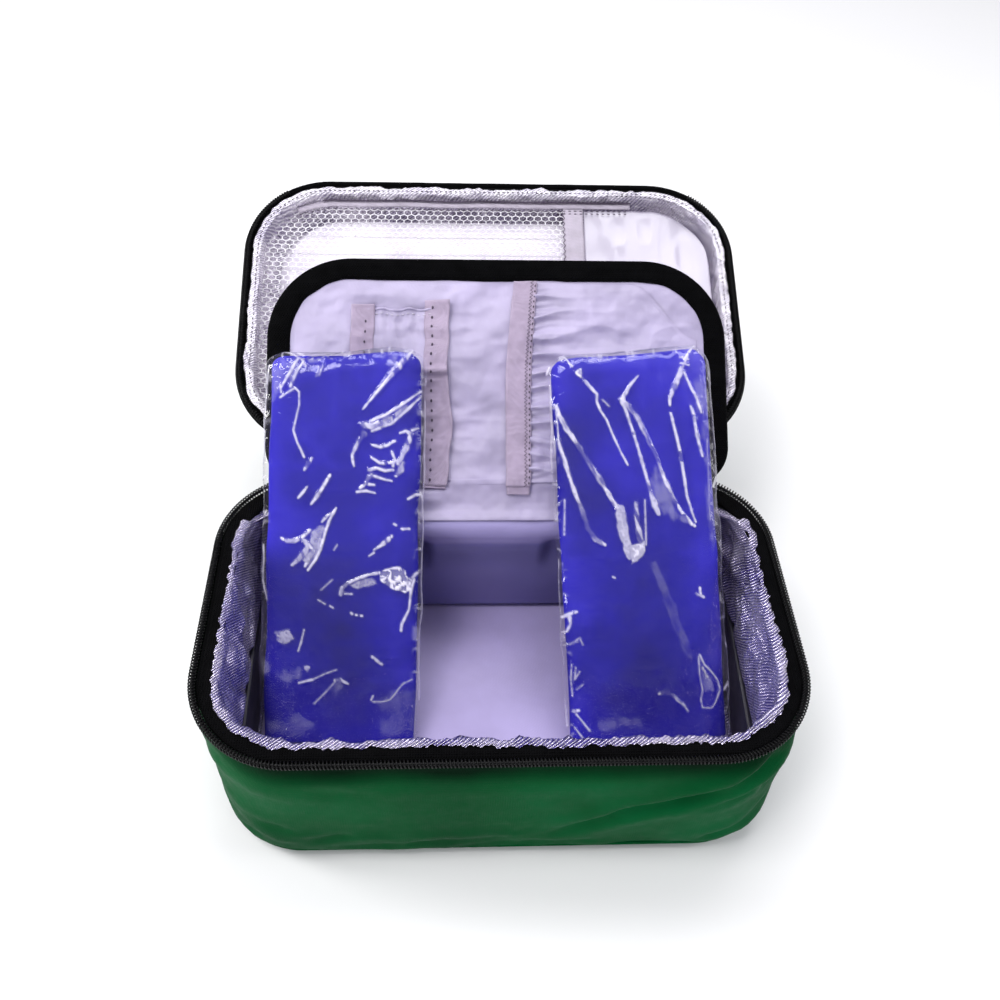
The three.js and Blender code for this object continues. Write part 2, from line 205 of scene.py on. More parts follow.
def thick(P, t, wrap=False, lift=0.5):
    """A closed sheet of thickness t on grid P: lift is how much of it lies on the normal's side."""
    nu, nv = P.shape[:2]
    N = grid_normals(P, wrap)
    A = P + N * (t * lift)
    B = P - N * (t * (1 - lift))
    n = nu * nv
    q = [grid_quads(nu, nv, wrap), grid_quads(nu, nv, wrap, n, True)]
    idx = np.arange(n).reshape(nu, nv)
    i = np.arange(nu if wrap else nu - 1)
    k = (i + 1) % nu
    q.append(np.stack([idx[k, 0], idx[i, 0], idx[i, 0] + n, idx[k, 0] + n], -1))
    q.append(np.stack([idx[i, -1], idx[k, -1], idx[k, -1] + n, idx[i, -1] + n], -1))
    if not wrap:
        j = np.arange(nv - 1)
        q.append(np.stack([idx[0, j], idx[0, j + 1], idx[0, j + 1] + n, idx[0, j] + n], -1))
        q.append(np.stack([idx[-1, j + 1], idx[-1, j], idx[-1, j] + n, idx[-1, j + 1] + n], -1))
    return np.concatenate([A.reshape(-1, 3), B.reshape(-1, 3)]), np.concatenate(q)


def tube(path, r, sides=6, closed=False, squash=1.0, up=None):
    """A round tube along path: (V, quads, tris)."""
    P = np.asarray(path, float)
    n = len(P)
    if closed:
        T = np.roll(P, -1, 0) - np.roll(P, 1, 0)
    else:
        T = np.gradient(P, axis=0)
    T /= np.maximum(np.linalg.norm(T, axis=1, keepdims=True), 1e-9)
    ref = np.array([0, 0, 1.0]) if up is None else np.asarray(up, float)
    if ref.ndim == 1:
        ref = np.tile(ref, (n, 1))
    A = np.cross(T, ref)
    bad = np.linalg.norm(A, axis=1) < 1e-3
    A[bad] = np.cross(T[bad], np.array([0.3, 1.0, 0.1]))
    A /= np.linalg.norm(A, axis=1, keepdims=True)
    B = np.cross(A, T)
    r = np.broadcast_to(np.asarray(r, float), (n,))
    a = np.arange(sides) * 2 * math.pi / sides
    ring = P[:, None] + r[:, None, None] * (np.cos(a)[None, :, None] * A[:, None] + squash * np.sin(a)[None, :, None] * B[:, None])
    V = ring.reshape(-1, 3)
    i = np.arange(n if closed else n - 1)
    j = np.arange(sides)
    I, J = np.meshgrid(i, j, indexing="ij")
    K, L = (I + 1) % n, (J + 1) % sides
    q = np.stack([I * sides + J, I * sides + L, K * sides + L, K * sides + J], -1).reshape(-1, 4)
    if closed:
        return V, q, np.zeros((0, 3), int)
    m = len(V)
    V = np.concatenate([V, P[:1], P[-1:]])
    t0 = np.stack([np.full(sides, m), (j + 1) % sides, j], -1)
    e = (n - 1) * sides
    t1 = np.stack([np.full(sides, m + 1), e + j, e + (j + 1) % sides], -1)
    return V, q, np.concatenate([t0, t1])


def join(parts):
    V, Q, T, off = [], [], [], 0
    for v, q, t in parts:
        V.append(np.asarray(v).reshape(-1, 3))
        if len(q):
            Q.append(np.asarray(q) + off)
        if len(t):
            T.append(np.asarray(t) + off)
        off += len(V[-1])
    return np.concatenate(V), (np.concatenate(Q) if Q else ()), (np.concatenate(T) if T else ())


def stitches(pts, nrm, length=2.6, pitch=3.4, r=0.28, lift=0.12):
    """Short sewn stitches along a line of points that lie on a surface with normals nrm."""
    P = np.asarray(pts, float)
    N = np.broadcast_to(np.asarray(nrm, float), P.shape)
    seg = np.linalg.norm(np.diff(P, axis=0), axis=1)
    s = np.concatenate([[0], np.cumsum(seg)])
    out = []
    for c in np.arange(pitch * 0.6, s[-1] - length / 2, pitch):
        u = np.linspace(-0.5, 0.5, 5)
        at = c + u * length
        p = np.stack([np.interp(at, s, P[:, k]) for k in range(3)], -1)
        nn = np.stack([np.interp(at, s, N[:, k]) for k in range(3)], -1)
        arch = (1 - (2 * u) ** 2) * lift - 0.10
        out.append(tube(p + nn * arch[:, None], r * np.array([0.45, 0.95, 1.0, 0.95, 0.45]), 6, up=nn))
    return join(out)


def outline(hx, hy, r, arc=14, nx=60, ny=26):
    """A rounded rectangle with the same number of points whatever its size: points and outward normals."""
    pts, nrm = [], []
    cx, cy = hx - r, hy - r
    for k, (sx, sy) in enumerate(((1, 1), (-1, 1), (-1, -1), (1, -1))):
        a = np.radians(90 * k + np.linspace(0, 90, arc + 1))
        pts.append(np.stack([sx * cx + r * np.cos(a), sy * cy + r * np.sin(a)], -1))
        nrm.append(np.stack([np.cos(a), np.sin(a)], -1))
        n = nx if k % 2 == 0 else ny
        t = np.linspace(0, 1, n + 2)[1:-1]
        a1 = math.radians(90 * (k + 1))
        p0 = pts[-1][-1]
        p1 = {0: (-cx, hy), 1: (-hx, -cy), 2: (cx, -hy), 3: (hx, cy)}[k]
        pts.append(p0 + t[:, None] * (np.array(p1) - p0))
        nrm.append(np.tile([math.cos(a1), math.sin(a1)], (n, 1)))
    return np.concatenate(pts), np.concatenate(nrm)


def catmull(rows, n):
    R = np.asarray(rows, float)
    d = np.linalg.norm(np.diff(R, axis=0), axis=1)
    s = np.concatenate([[0], np.cumsum(np.maximum(d, 1e-6))])
    m = np.zeros_like(R)
    m[1:-1] = (R[2:] - R[:-2]) / (s[2:] - s[:-2])[:, None]
    m[0], m[-1] = (R[1] - R[0]) / (s[1] - s[0]), (R[-1] - R[-2]) / (s[-1] - s[-2])
    out = []
    for x in np.linspace(0, s[-1], n):
        k = min(np.searchsorted(s, x, side="right") - 1, len(R) - 2)
        h = s[k + 1] - s[k]
        t = (x - s[k]) / h
        out.append((2 * t**3 - 3 * t**2 + 1) * R[k] + (t**3 - 2 * t**2 + t) * h * m[k] + (-2 * t**3 + 3 * t**2) * R[k + 1] + (t**3 - t**2) * h * m[k + 1])
    return np.array(out)


def tub_grid(rows, arc=14, nx=60, ny=26):
    """Grid [around, row, 3] and its sideways normals, from rows of half x, half y, radius, z."""
    P, N = [], []
    for hx, hy, r, z in rows:
        p, n = outline(hx, hy, r, arc, nx, ny)
        P.append(np.concatenate([p, np.full((len(p), 1), z)], 1))
        N.append(np.concatenate([n, np.zeros((len(n), 1))], 1))
    return np.stack(P, 1), np.stack(N, 1)


def along(P):
    """Distance along a closed or open line of points."""
    return np.concatenate([[0], np.cumsum(np.linalg.norm(np.diff(P, axis=0), axis=1))])


# --------------------------------------------------------------- materials
def srgb(r, g, b):
    return tuple((c / 255 / 12.92 if c / 255 <= 0.04045 else ((c / 255 + 0.055) / 1.055) ** 2.4) for c in (r, g, b)) + (1.0,)


class Nodes:
    def __init__(self, name):
        self.mat = bpy.data.materials.new(name)
        self.mat.use_nodes = True
        self.t = self.mat.node_tree
        self.bsdf = self.t.nodes["Principled BSDF"]
        self.out = self.t.nodes["Material Output"]

    def add(self, kind, **kw):
        n = self.t.nodes.new(kind)
        for k, v in kw.items():
            if k in n.inputs:
                n.inputs[k].default_value = v
            else:
                setattr(n, k, v)
        return n

    def link(self, a, b):
        self.t.links.new(a, b)

    def coords(self, scale):
        c = self.add("ShaderNodeTexCoord")
        m = self.add("ShaderNodeMapping")
        m.inputs["Scale"].default_value = scale if hasattr(scale, "__len__") else (scale,) * 3
        self.link(c.outputs["Object"], m.inputs["Vector"])
        return m.outputs["Vector"]

    def noise(self, scale, detail=3.0, rough=0.5, vec=None):
        n = self.add("ShaderNodeTexNoise")
        n.inputs["Scale"].default_value = scale
        n.inputs["Detail"].default_value = detail
        n.inputs["Roughness"].default_value = rough
        self.link(vec or self.coords(1.0), n.inputs["Vector"])
        return n.outputs["Fac"]

    def ramp(self, fac, stops):
        r = self.add("ShaderNodeValToRGB")
        e = r.color_ramp.elements
        while len(e) > len(stops):
            e.remove(e[-1])
        while len(e) < len(stops):
            e.new(1.0)
        for el, (p, c) in zip(e, stops):
            el.position = p
            el.color = c
        self.link(fac, r.inputs["Fac"])
        return r.outputs["Color"]

    def maths(self, op, a, b=None):
        m = self.add("ShaderNodeMath", operation=op)
        for k, v in enumerate((a, b)):
            if v is None:
                continue
            if isinstance(v, (int, float)):
                m.inputs[k].default_value = v
            else:
                self.link(v, m.inputs[k])
        return m.outputs[0]

    def bump(self, height, strength=0.5, distance=0.0005, normal=None):
        b = self.add("ShaderNodeBump")
        b.inputs["Strength"].default_value = strength
        b.inputs["Distance"].default_value = distance
        self.link(height, b.inputs["Height"])
        if normal is not None:
            self.link(normal, b.inputs["Normal"])
        return b.outputs["Normal"]

    def weave(self, pitch_mm, turn=0.0):
        """Over-and-under threads on all three object planes, blended by plain multiplication."""
        k = 2 * math.pi / (pitch_mm * MM)
        c = self.add("ShaderNodeTexCoord")
        m = self.add("ShaderNodeMapping")
        m.inputs["Rotation"].default_value = (turn, turn * 0.7, turn)
        self.link(c.outputs["Object"], m.inputs["Vector"])
        s = self.add("ShaderNodeSeparateXYZ")
        self.link(m.outputs["Vector"], s.inputs[0])
        sx = self.maths("SINE", self.maths("MULTIPLY", s.outputs[0], k))
        sy = self.maths("SINE", self.maths("MULTIPLY", s.outputs[1], k))
        sz = self.maths("SINE", self.maths("MULTIPLY", s.outputs[2], k))
        a = self.maths("ADD", self.maths("MULTIPLY", sx, sy), self.maths("MULTIPLY", sy, sz))
        return self.maths("ADD", a, self.maths("MULTIPLY", sz, sx))

    def done(self):
        return self.mat


def set_in(bsdf, **kw):
    for k, v in kw.items():
        bsdf.inputs[k.replace("_", " ")].default_value = v


def mat_green():
    n = Nodes("green_nylon")
    set_in(n.bsdf, Roughness=0.5, Specular_IOR_Level=0.04)
    big = n.noise(16, 3, 0.5)
    # the 'shade' attribute darkens the green towards the base's top edge: painted shade under the zipper band
    a = n.add("ShaderNodeAttribute")
    a.attribute_name = "shade"
    big = n.maths("SUBTRACT", big, n.maths("MULTIPLY", a.outputs["Fac"], 0.5))
    col = n.ramp(big, [(0.0, srgb(0, 30, 13)), (0.25, srgb(0, 56, 26)), (0.55, srgb(1, 76, 37)), (0.8, srgb(4, 95, 52))])
    n.link(col, n.bsdf.inputs["Base Color"])
    b1 = n.bump(n.weave(0.9), 0.22, 0.00012)
    b2 = n.bump(n.noise(90, 4, 0.5), 0.22, 0.0008, b1)
    n.link(b2, n.bsdf.inputs["Normal"])
    n.link(n.ramp(n.noise(300, 3), [(0.3, (0.46,) * 3 + (1,)), (0.8, (0.6,) * 3 + (1,))]), n.bsdf.inputs["Roughness"])
    return n.done()


def mat_black(name="black_tape", ribs=0.9, rough=0.8, tone=3):
    n = Nodes(name)
    set_in(n.bsdf, Roughness=rough, Specular_IOR_Level=0.05)
    n.link(n.ramp(n.noise(160, 4), [(0.3, srgb(tone, tone, tone + 1)), (0.8, srgb(tone + 6, tone + 6, tone + 8))]), n.bsdf.inputs["Base Color"])
    b = n.bump(n.weave(ribs), 0.7, 0.00022)
    n.link(n.bump(n.noise(500, 3), 0.3, 0.0002, b), n.bsdf.inputs["Normal"])
    return n.done()


def mat_coil():
    n = Nodes("coil_nylon")
    set_in(n.bsdf, Roughness=0.42, Specular_IOR_Level=0.2)
    n.link(n.ramp(n.noise(400, 2), [(0.3, srgb(3, 3, 5)), (0.8, srgb(12, 12, 14))]), n.bsdf.inputs["Base Color"])
    return n.done()


def mat_foil(name="foil", ribs=1.15, tint=(240, 234, 248), shade=(92, 84, 128), rough=0.22, metal=0.86, fine=0.45, rib_depth=0.7, contrast=0.30):
    """Aluminised woven fabric: fine slanting ribs that glint, over a metallic film; its base colour runs from the dark
    shade colour to the pale tint along the ribs, its woven pattern, and in broad blotches, painted shade and
    reflection.
    """
    n = Nodes(name)
    set_in(n.bsdf, Metallic=metal, Roughness=rough, Specular_IOR_Level=0.5)
    c = n.add("ShaderNodeTexCoord")
    s = n.add("ShaderNodeSeparateXYZ")
    n.link(c.outputs["Object"], s.inputs[0])
    k = 2 * math.pi / (ribs * MM)
    wob = n.maths("MULTIPLY", n.noise(45, 2), 3.2)
    d1 = n.maths("SINE", n.maths("ADD", n.maths("MULTIPLY", n.maths("ADD", n.maths("MULTIPLY", s.outputs[1], 0.8), n.maths("MULTIPLY", n.maths("SUBTRACT", s.outputs[2], s.outputs[0]), 0.62)), k), wob))
    d2 = n.maths("SINE", n.maths("MULTIPLY", n.maths("ADD", n.maths("ADD", s.outputs[0], s.outputs[1]), s.outputs[2]), k * 1.7))
    w = n.maths("ADD", d1, n.maths("MULTIPLY", d2, 0.25))
    lines = n.maths("ADD", n.maths("MULTIPLY", w, contrast * 0.5), n.noise(55, 5, 0.65))
    n.link(n.ramp(lines, [(0.26, srgb(*shade)), (0.60, srgb(*tint))]), n.bsdf.inputs["Base Color"])
    b = n.bump(w, rib_depth, 0.00024)
    b = n.bump(n.noise(150, 6, 0.62), fine, 0.0020, b)
    n.link(b, n.bsdf.inputs["Normal"])
    n.link(n.ramp(n.noise(90, 4), [(0.3, (rough * 0.7,) * 3 + (1,)), (0.75, (rough * 1.5,) * 3 + (1,))]), n.bsdf.inputs["Roughness"])
    return n.done()


def mat_satin(name="lavender_satin", tone=(206, 200, 230), dark=0.9, rough=0.44, pitch=0.55, sheen=0.22, slack=0.0):
    n = Nodes(name)
    set_in(n.bsdf, Roughness=rough, Sheen_Weight=sheen, Sheen_Roughness=0.35, Sheen_Tint=srgb(235, 225, 255), Specular_IOR_Level=0.4)
    n.link(n.ramp(n.noise(34, 4, 0.5), [(0.25, srgb(*(int(c * dark) for c in tone))), (0.75, srgb(*tone))]), n.bsdf.inputs["Base Color"])
    b = n.bump(n.weave(pitch, 0.2), 0.22, 0.0001)
    b = n.bump(n.noise(85, 4, 0.5), 0.22, 0.0012, b)
    if slack:
        b = n.bump(n.noise(30, 3, 0.45), slack, 0.009, b)
    n.link(b, n.bsdf.inputs["Normal"])
    return n.done()


def mat_wall():
    """The rear wall's satin: its face is painted darker than its roll, painted shade, and the tone runs smoothly over.
    """
    n = Nodes("wall_satin")
    set_in(n.bsdf, Roughness=0.5, Sheen_Weight=0.08, Sheen_Roughness=0.35, Sheen_Tint=srgb(235, 225, 255), Specular_IOR_Level=0.4)
    a = n.add("ShaderNodeAttribute")
    a.attribute_name = "tone"
    tone = n.maths("ADD", a.outputs["Fac"], n.maths("MULTIPLY", n.maths("SUBTRACT", n.noise(34, 4, 0.5), 0.5), 0.16))
    n.link(n.ramp(tone, [(0.0, srgb(94, 89, 138)), (0.35, srgb(120, 114, 170)), (1.0, srgb(160, 151, 200))]), n.bsdf.inputs["Base Color"])
    b = n.bump(n.weave(0.55, 0.2), 0.22, 0.0001)
    n.link(n.bump(n.noise(85, 4, 0.5), 0.22, 0.0012, b), n.bsdf.inputs["Normal"])
    return n.done()


def mat_tape(name="mauve_tape", tone=(188, 171, 198)):
    n = Nodes(name)
    set_in(n.bsdf, Roughness=0.66, Sheen_Weight=0.2, Specular_IOR_Level=0.3)
    n.link(n.ramp(n.noise(120, 5, 0.6), [(0.25, srgb(*(int(c * 0.88) for c in tone))), (0.75, srgb(*tone))]), n.bsdf.inputs["Base Color"])
    b = n.bump(n.weave(0.75, 0.05), 0.6, 0.00018)
    n.link(n.bump(n.noise(160, 4), 0.3, 0.0006, b), n.bsdf.inputs["Normal"])
    return n.done()


def mat_thread(name, tone, dark=0.75, sheen=0.3, gloss=0.4):
    n = Nodes(name)
    set_in(n.bsdf, Roughness=0.6, Sheen_Weight=sheen, Specular_IOR_Level=gloss)
    n.link(n.ramp(n.noise(900, 3), [(0.3, srgb(*(int(c * dark) for c in tone))), (0.8, srgb(*tone))]), n.bsdf.inputs["Base Color"])
    return n.done()


def mat_blue():
    n = Nodes("blue_film")
    set_in(n.bsdf, Roughness=0.5, Specular_IOR_Level=0.08)
    a = n.add("ShaderNodeAttribute")
    a.attribute_name = "tone"
    # the 'tone' attribute lightens the blue towards violet: partly random, partly painted highlight
    tone = n.maths("ADD", a.outputs["Fac"], n.maths("MULTIPLY", n.maths("SUBTRACT", n.noise(45, 4, 0.55), 0.5), 0.22))
    n.link(n.ramp(tone, [(0.10, srgb(17, 9, 116)), (0.42, srgb(21, 11, 150)), (0.68, srgb(40, 30, 182)), (1.0, srgb(88, 80, 206))]), n.bsdf.inputs["Base Color"])
    n.link(n.bump(n.noise(55, 4, 0.5), 0.25, 0.002), n.bsdf.inputs["Normal"])
    return n.done()


def mat_clear(name="clear_sleeve", haze=0.02, rough=0.06, tint=(240, 236, 255), highlight_attr=None, bump=0.35, shine=0.04):
    """Thin clear film: it lets light through, shines more at a slant, and is painted whitish where it is creased, a
    painted highlight.
    """
    n = Nodes(name)
    set_in(n.bsdf, Base_Color=srgb(*tint), Roughness=0.35, Specular_IOR_Level=0.5, Coat_Weight=0.6, Coat_Roughness=0.08)
    tr = n.add("ShaderNodeBsdfTransparent")
    tr.inputs["Color"].default_value = (0.99, 0.99, 1.0, 1)
    gl = n.add("ShaderNodeBsdfGlossy")
    gl.inputs["Color"].default_value = (1, 1, 1, 1)
    gl.inputs["Roughness"].default_value = rough
    b = n.bump(n.noise(140, 5, 0.6), bump, 0.0010)
    lw = n.add("ShaderNodeLayerWeight")
    lw.inputs["Blend"].default_value = 0.5
    n.link(b, lw.inputs["Normal"])
    n.link(b, gl.inputs["Normal"])
    slant = n.maths("MULTIPLY", n.maths("POWER", lw.outputs["Facing"], 4.0), 0.55)
    film = n.add("ShaderNodeMixShader")
    n.link(n.maths("ADD", slant, shine), film.inputs[0])
    n.link(tr.outputs[0], film.inputs[1])
    n.link(gl.outputs[0], film.inputs[2])
    full = n.add("ShaderNodeMixShader")
    # the attribute paints highlights: it whitens the film's colour where its creases glint
    if highlight_attr:
        a = n.add("ShaderNodeAttribute")
        a.attribute_name = highlight_attr
        fac = n.maths("ADD", a.outputs["Fac"], haze)
        n.link(n.maths("MINIMUM", fac, 0.95), full.inputs[0])
    else:
        full.inputs[0].default_value = haze
    n.link(film.outputs[0], full.inputs[1])
    n.link(n.bsdf.outputs[0], full.inputs[2])
    n.link(full.outputs[0], n.out.inputs["Surface"])
    return n.done()


def mat_metal():
    n = Nodes("black_enamel")
    set_in(n.bsdf, Roughness=0.3, Metallic=0.35, Coat_Weight=0.5, Coat_Roughness=0.15)
    n.link(n.ramp(n.noise(300, 4), [(0.3, srgb(16, 16, 18)), (0.85, srgb(46, 46, 50))]), n.bsdf.inputs["Base Color"])
    n.link(n.bump(n.noise(900, 3), 0.15, 0.0001), n.bsdf.inputs["Normal"])
    return n.done()


GREEN = mat_green()
TAPE = mat_black()
BINDING = mat_black("page_binding_grosgrain", 1.1, 0.85, 2)
COIL = mat_coil()
# the base lining's deep violet shade colour and strong contrast: painted shade and reflection
FOIL = mat_foil("foil", 1.1, (242, 234, 255), (86, 75, 158), metal=0.80, rib_depth=0.95, contrast=0.46)
LID_FOIL = mat_foil("lid_foil", 1.2, (250, 246, 253), (154, 145, 174), 0.26, 0.6, 0.9, 0.4, 0.3)
PANEL_FOIL = mat_foil("lid_panel_foil", 1.2, (246, 241, 250), (222, 215, 232), 0.5, 0.0, 0.4, 0.2, 0.25)
SATIN = mat_satin("lavender_satin", (180, 168, 216))
PAGE_SATIN = mat_satin("page_satin", (191, 181, 215), 0.83, 0.38, sheen=0.12, slack=1.0)
WALL_SATIN = mat_wall()
# grey satin darkened to near black: its own grey plus painted shade for the gap beside the packs
GREY_SATIN = mat_satin("grey_satin", (38, 35, 50), 0.75, 0.4, sheen=0.0)
MAUVE = mat_tape()
PALE_TAPE = mat_tape("pale_tape", (214, 204, 222))
DARK_THREAD = mat_thread("dark_thread", (86, 70, 96))
PALE_THREAD = mat_thread("pale_thread", (226, 220, 236))
BLACK_THREAD = mat_thread("black_thread", (8, 8, 10), 0.6, 0.0, 0.05)
BLUE = mat_blue()
# the sleeve's creases and crumples take painted highlights
SLEEVE = mat_clear("clear_sleeve", 0.012, 0.06, highlight_attr="painted_highlight")
WINDOW = mat_clear("clear_window", 0.55, 0.34, (214, 207, 226), bump=0.2, shine=0.05)
METAL = mat_metal()
NET = mat_thread("pocket_net", (252, 250, 255), 0.94, 0.1)
FOAM = mat_satin("foam_board", (224, 224, 228), 0.95, 0.8)


# ------------------------------------------------------------------ camera
def camera():
    e, yaw, roll = 0.8505044, 0.0743805, -0.0542041
    rt, up, fw = np.array([1.0, 0, 0]), np.array([0, math.sin(e), math.cos(e)]), np.array([0, math.cos(e), -math.sin(e)])

    def un(v):
        return np.array([v[0] * math.cos(yaw) + v[1] * math.sin(yaw), -v[0] * math.sin(yaw) + v[1] * math.cos(yaw), v[2]])

    right = rt * math.cos(roll) - up * math.sin(roll)
    top = rt * math.sin(roll) + up * math.cos(roll)
    cam = bpy.data.cameras.new("camera")
    cam.sensor_width = 36.0
    cam.lens = 36.0
    cam.clip_start = 0.01
    ob = bpy.data.objects.new("camera", cam)
    M = Matrix.Identity(4)
    for k, v in enumerate((un(right), un(top), -un(fw))):
        for r in range(3):
            M[r][k] = v[r]
    for r, x in enumerate((-19.22, -226.87, 392.76)):
        M[r][3] = x * MM
    ob.matrix_world = M
    bpy.context.scene.collection.objects.link(ob)
    bpy.context.scene.camera = ob


camera()


# ------------------------------------------------------------------ lights
def area(name, loc, target, size, power, color=(1, 1, 1)):
    l = bpy.data.lights.new(name, "AREA")
    l.shape = "RECTANGLE"
    l.size, l.size_y = size
    l.energy = power
    l.color = color
    o = bpy.data.objects.new(name, l)
    o.location = loc
    o.rotation_euler = (Vector(target) - Vector(loc)).to_track_quat("-Z", "Y").to_euler()
    bpy.context.scene.collection.objects.link(o)


area("key", (-0.44, -0.14, 1.24), (0, 0.07, 0.06), (0.50, 0.40), 6.6, (1.0, 0.99, 0.98))
area("top", (0.15, 0.55, 1.20), (0, 0.10, 0.05), (0.8, 0.5), 7.6)
area("right", (0.95, -0.15, 0.75), (0, 0.0, 0.05), (0.35, 0.5), 2.0, (0.97, 0.97, 1.0))
area("left", (-0.95, 0.22, 0.52), (0, 0.05, 0.06), (0.3, 0.3), 4.2)
area("low_left", (-0.60, -0.60, 0.26), (-0.14, -0.07, 0.035), (0.34, 0.2), 2.5)
area("low_right", (0.50, -0.60, 0.26), (0.12, -0.07, 0.04), (0.2, 0.14), 0.30)


def surround():
    """A plain studio: bright overhead, dim towards the horizon."""
    world = bpy.data.worlds.new("world")
    world.use_nodes = True
    t = world.node_tree
    c = t.nodes.new("ShaderNodeTexCoord")
    s = t.nodes.new("ShaderNodeSeparateXYZ")
    r = t.nodes.new("ShaderNodeValToRGB")
    e = r.color_ramp.elements
    e[0].position, e[0].color = 0.05, (0.10, 0.10, 0.115, 1)
    e[1].position, e[1].color = 0.95, (0.68, 0.68, 0.72, 1)
    m = e.new(0.5)
    m.color = (0.20, 0.20, 0.225, 1)
    t.links.new(c.outputs["Generated"], s.inputs[0])
    t.links.new(s.outputs[2], r.inputs[0])
    t.links.new(r.outputs[0], t.nodes["Background"].inputs["Color"])
    bpy.context.scene.world = world


surround()
bpy.context.scene.view_settings.view_transform = "Standard"
bpy.context.scene.view_settings.look = "None"


def floor():
    n = Nodes("floor")
    set_in(n.bsdf, Roughness=0.85, Specular_IOR_Level=0.15)
    n.link(n.ramp(n.noise(3, 2), [(0.2, (0.90, 0.90, 0.905, 1)), (0.8, (0.92, 0.92, 0.925, 1))]), n.bsdf.inputs["Base Color"])
    o = build("floor", [[-4000, -4000, -0.05], [4000, -4000, -0.05], [4000, 4000, -0.05], [-4000, 4000, -0.05]], [[0, 1, 2, 3]], mat=n.done(), smooth=False)


floor()


def piece(o, body, slot, *nodes):
    if nodes:
        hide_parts(*nodes)
    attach(o, body)
    return o


# ---------------------------------------------------------------- base tub
BASE_ROWS = [
    [101, 61, 26, 0], [107.5, 67.5, 31, 2.5], [110.8, 70.3, 34, 8], [111.5, 71, 36, 22],
    [111.5, 70.6, 37, 44], [112.3, 67.3, 37.5, 70.6],
]


def crease_line(P, a, b, width, depth, power=2.0):
    """A soft valley with a raised lip along the segment a-b on the surface."""
    a, b = np.array(a, float), np.array(b, float)
    d = b - a
    t = np.clip(((P - a) @ d) / (d @ d), 0, 1)
    q = a + t[..., None] * d
    dist = np.linalg.norm(P - q, axis=-1)
    fade = np.sin(np.clip(t, 0.0, 1.0) * math.pi * 0.9 + 0.05 * math.pi) ** 0.6
    return fade * (-depth * np.exp(-((dist / width) ** power)) + 0.45 * depth * np.exp(-(((dist - 2.0 * width) / (1.3 * width)) ** 2)))


def wrinkle_base(P):
    """How far the outer fabric stands in or out, at points in the row frame."""
    h = 0.55 * fbm(P / 34.0, 3, 2) + 0.22 * fbm(P / 11.0, 8, 2)
    low = smooth01(46, 8, P[..., 2])
    h += low * 0.65 * creased(P * np.array([1 / 26.0, 1 / 26.0, 1 / 13.0]), 21, 2)
    for a, b, w, d in (
        ((22, -71, 22), (50, -71, 40), 3.4, 2.2),
        ((44, -71, 38), (80, -70, 50), 3.2, 2.6),
        ((66, -70.5, 47), (106, -60, 64), 2.8, 3.2),
        ((70, -70, 40), (100, -66, 50), 2.4, 1.2),
        ((99, -62, 44), (112, -38, 62), 3.0, 3.4),
        ((82, -70, 12), (110, -50, 36), 2.8, 3.2),
        ((92, -67, 8), (110, -45, 20), 2.4, 2.4),
        ((-100, -62, 12), (-60, -70.5, 21), 2.6, 2.0),
        ((-108, -48, 32), (-84, -69.5, 26), 2.8, 1.8),
        ((-106, -54, 60), (-50, -70.5, 54), 3.6, 1.3),
        ((-60, -70.5, 10), (0, -71, 16), 3.0, 1.0),
        ((-111, -20, 40), (-106, -52, 58), 2.6, 1.0),
        ((111, 20, 30), (111, -30, 48), 2.8, 1.1),
        ((-30, -71, 8), (40, -71, 13), 2.6, 0.6),
        ((-112, 30, 20), (-112, -10, 30), 2.6, 0.9),
        ((-70, 71, 40), (-10, 71, 52), 3.0, 0.9),
        ((20, 71, 24), (90, 68, 34), 3.0, 0.9),
    ):
        h += crease_line(P, a, b, w, d)
    return h


def base_shell():
    n = 64
    rows = catmull(BASE_ROWS, n)
    rows[:, 3] = np.maximum(rows[:, 3], 0.0)
    P, N = tub_grid(rows, 18, 74, 32)
    z = P[..., 2]
    keep = smooth01(0.0, 9.0, z) * smooth01(71.0, 62.0, z)
    P = P + N * (wrinkle_base(P) * keep)[..., None]
    # tucked in under the zipper, with a soft roll where it is gathered below
    P = P + N * (0.9 * np.exp(-(((z - 56.0) / 6.0) ** 2)) - 1.6 * smooth01(61.0, 67.5, z))[..., None]
    inner = P - N * 1.1
    inner[..., 2] = np.maximum(inner[..., 2], 1.1)
    m = P.shape[1]
    G = np.concatenate([P, inner[:, ::-1]], 1)
    nu, nv = G.shape[:2]
    q = grid_quads(nu, nv, True)
    # flat bottom, outside and inside, in shrinking rings
    V = [G.reshape(-1, 3)]
    Q = [q]
    T = []
    off = nu * nv
    for col, zz, flip in ((0, 0.0, True), (nv - 1, 1.1, False)):
        ring = G[:, col]
        prev = np.arange(nu) * nv + col
        for k in (0.86, 0.66, 0.42, 0.2):
            r = ring * np.array([k, k, 1.0])
            if flip:
                r[:, 2] = 0.0
            else:
                r[:, 2] = zz
            V.append(r)
            cur = off + np.arange(nu)
            a, b = prev, np.roll(prev, -1)
            c, d = np.roll(cur, -1), cur
            f = np.stack([a, b, c, d], -1)
            Q.append(f[:, ::-1] if flip else f)
            prev = cur
            off += nu
        V.append(np.array([[0, 0, 0.0 if flip else zz]]))
        t = np.stack([prev, np.roll(prev, -1), np.full(nu, off)], -1)
        T.append(t[:, ::-1] if flip else t)
        off += 1
    V = np.concatenate(V)
    top = float(V[:, 2].max())
    # shade: painted shade, rising from 13 mm below the top to full 3 mm below it, under the zipper band
    o = build("base_fabric", V, np.concatenate(Q), np.concatenate(T), GREEN, attr={"shade": smooth01(top - 13, top - 3, V[:, 2])})
    piece(o, "root", "green_nylon", "base_outer_shell")
    # the underside's seam: a thin piping where walls and bottom are sewn together
    p, nn = outline(109.9, 69.6, 33.5, 18, 74, 32)
    ring = np.concatenate([p, np.full((len(p), 1), 6.2)], 1)
    v, q2, t2 = tube(ring, 0.75, 8, True)
    piece(build("base_bottom_piping", v, q2, t2, GREEN), "root", "green_nylon")


base_shell()


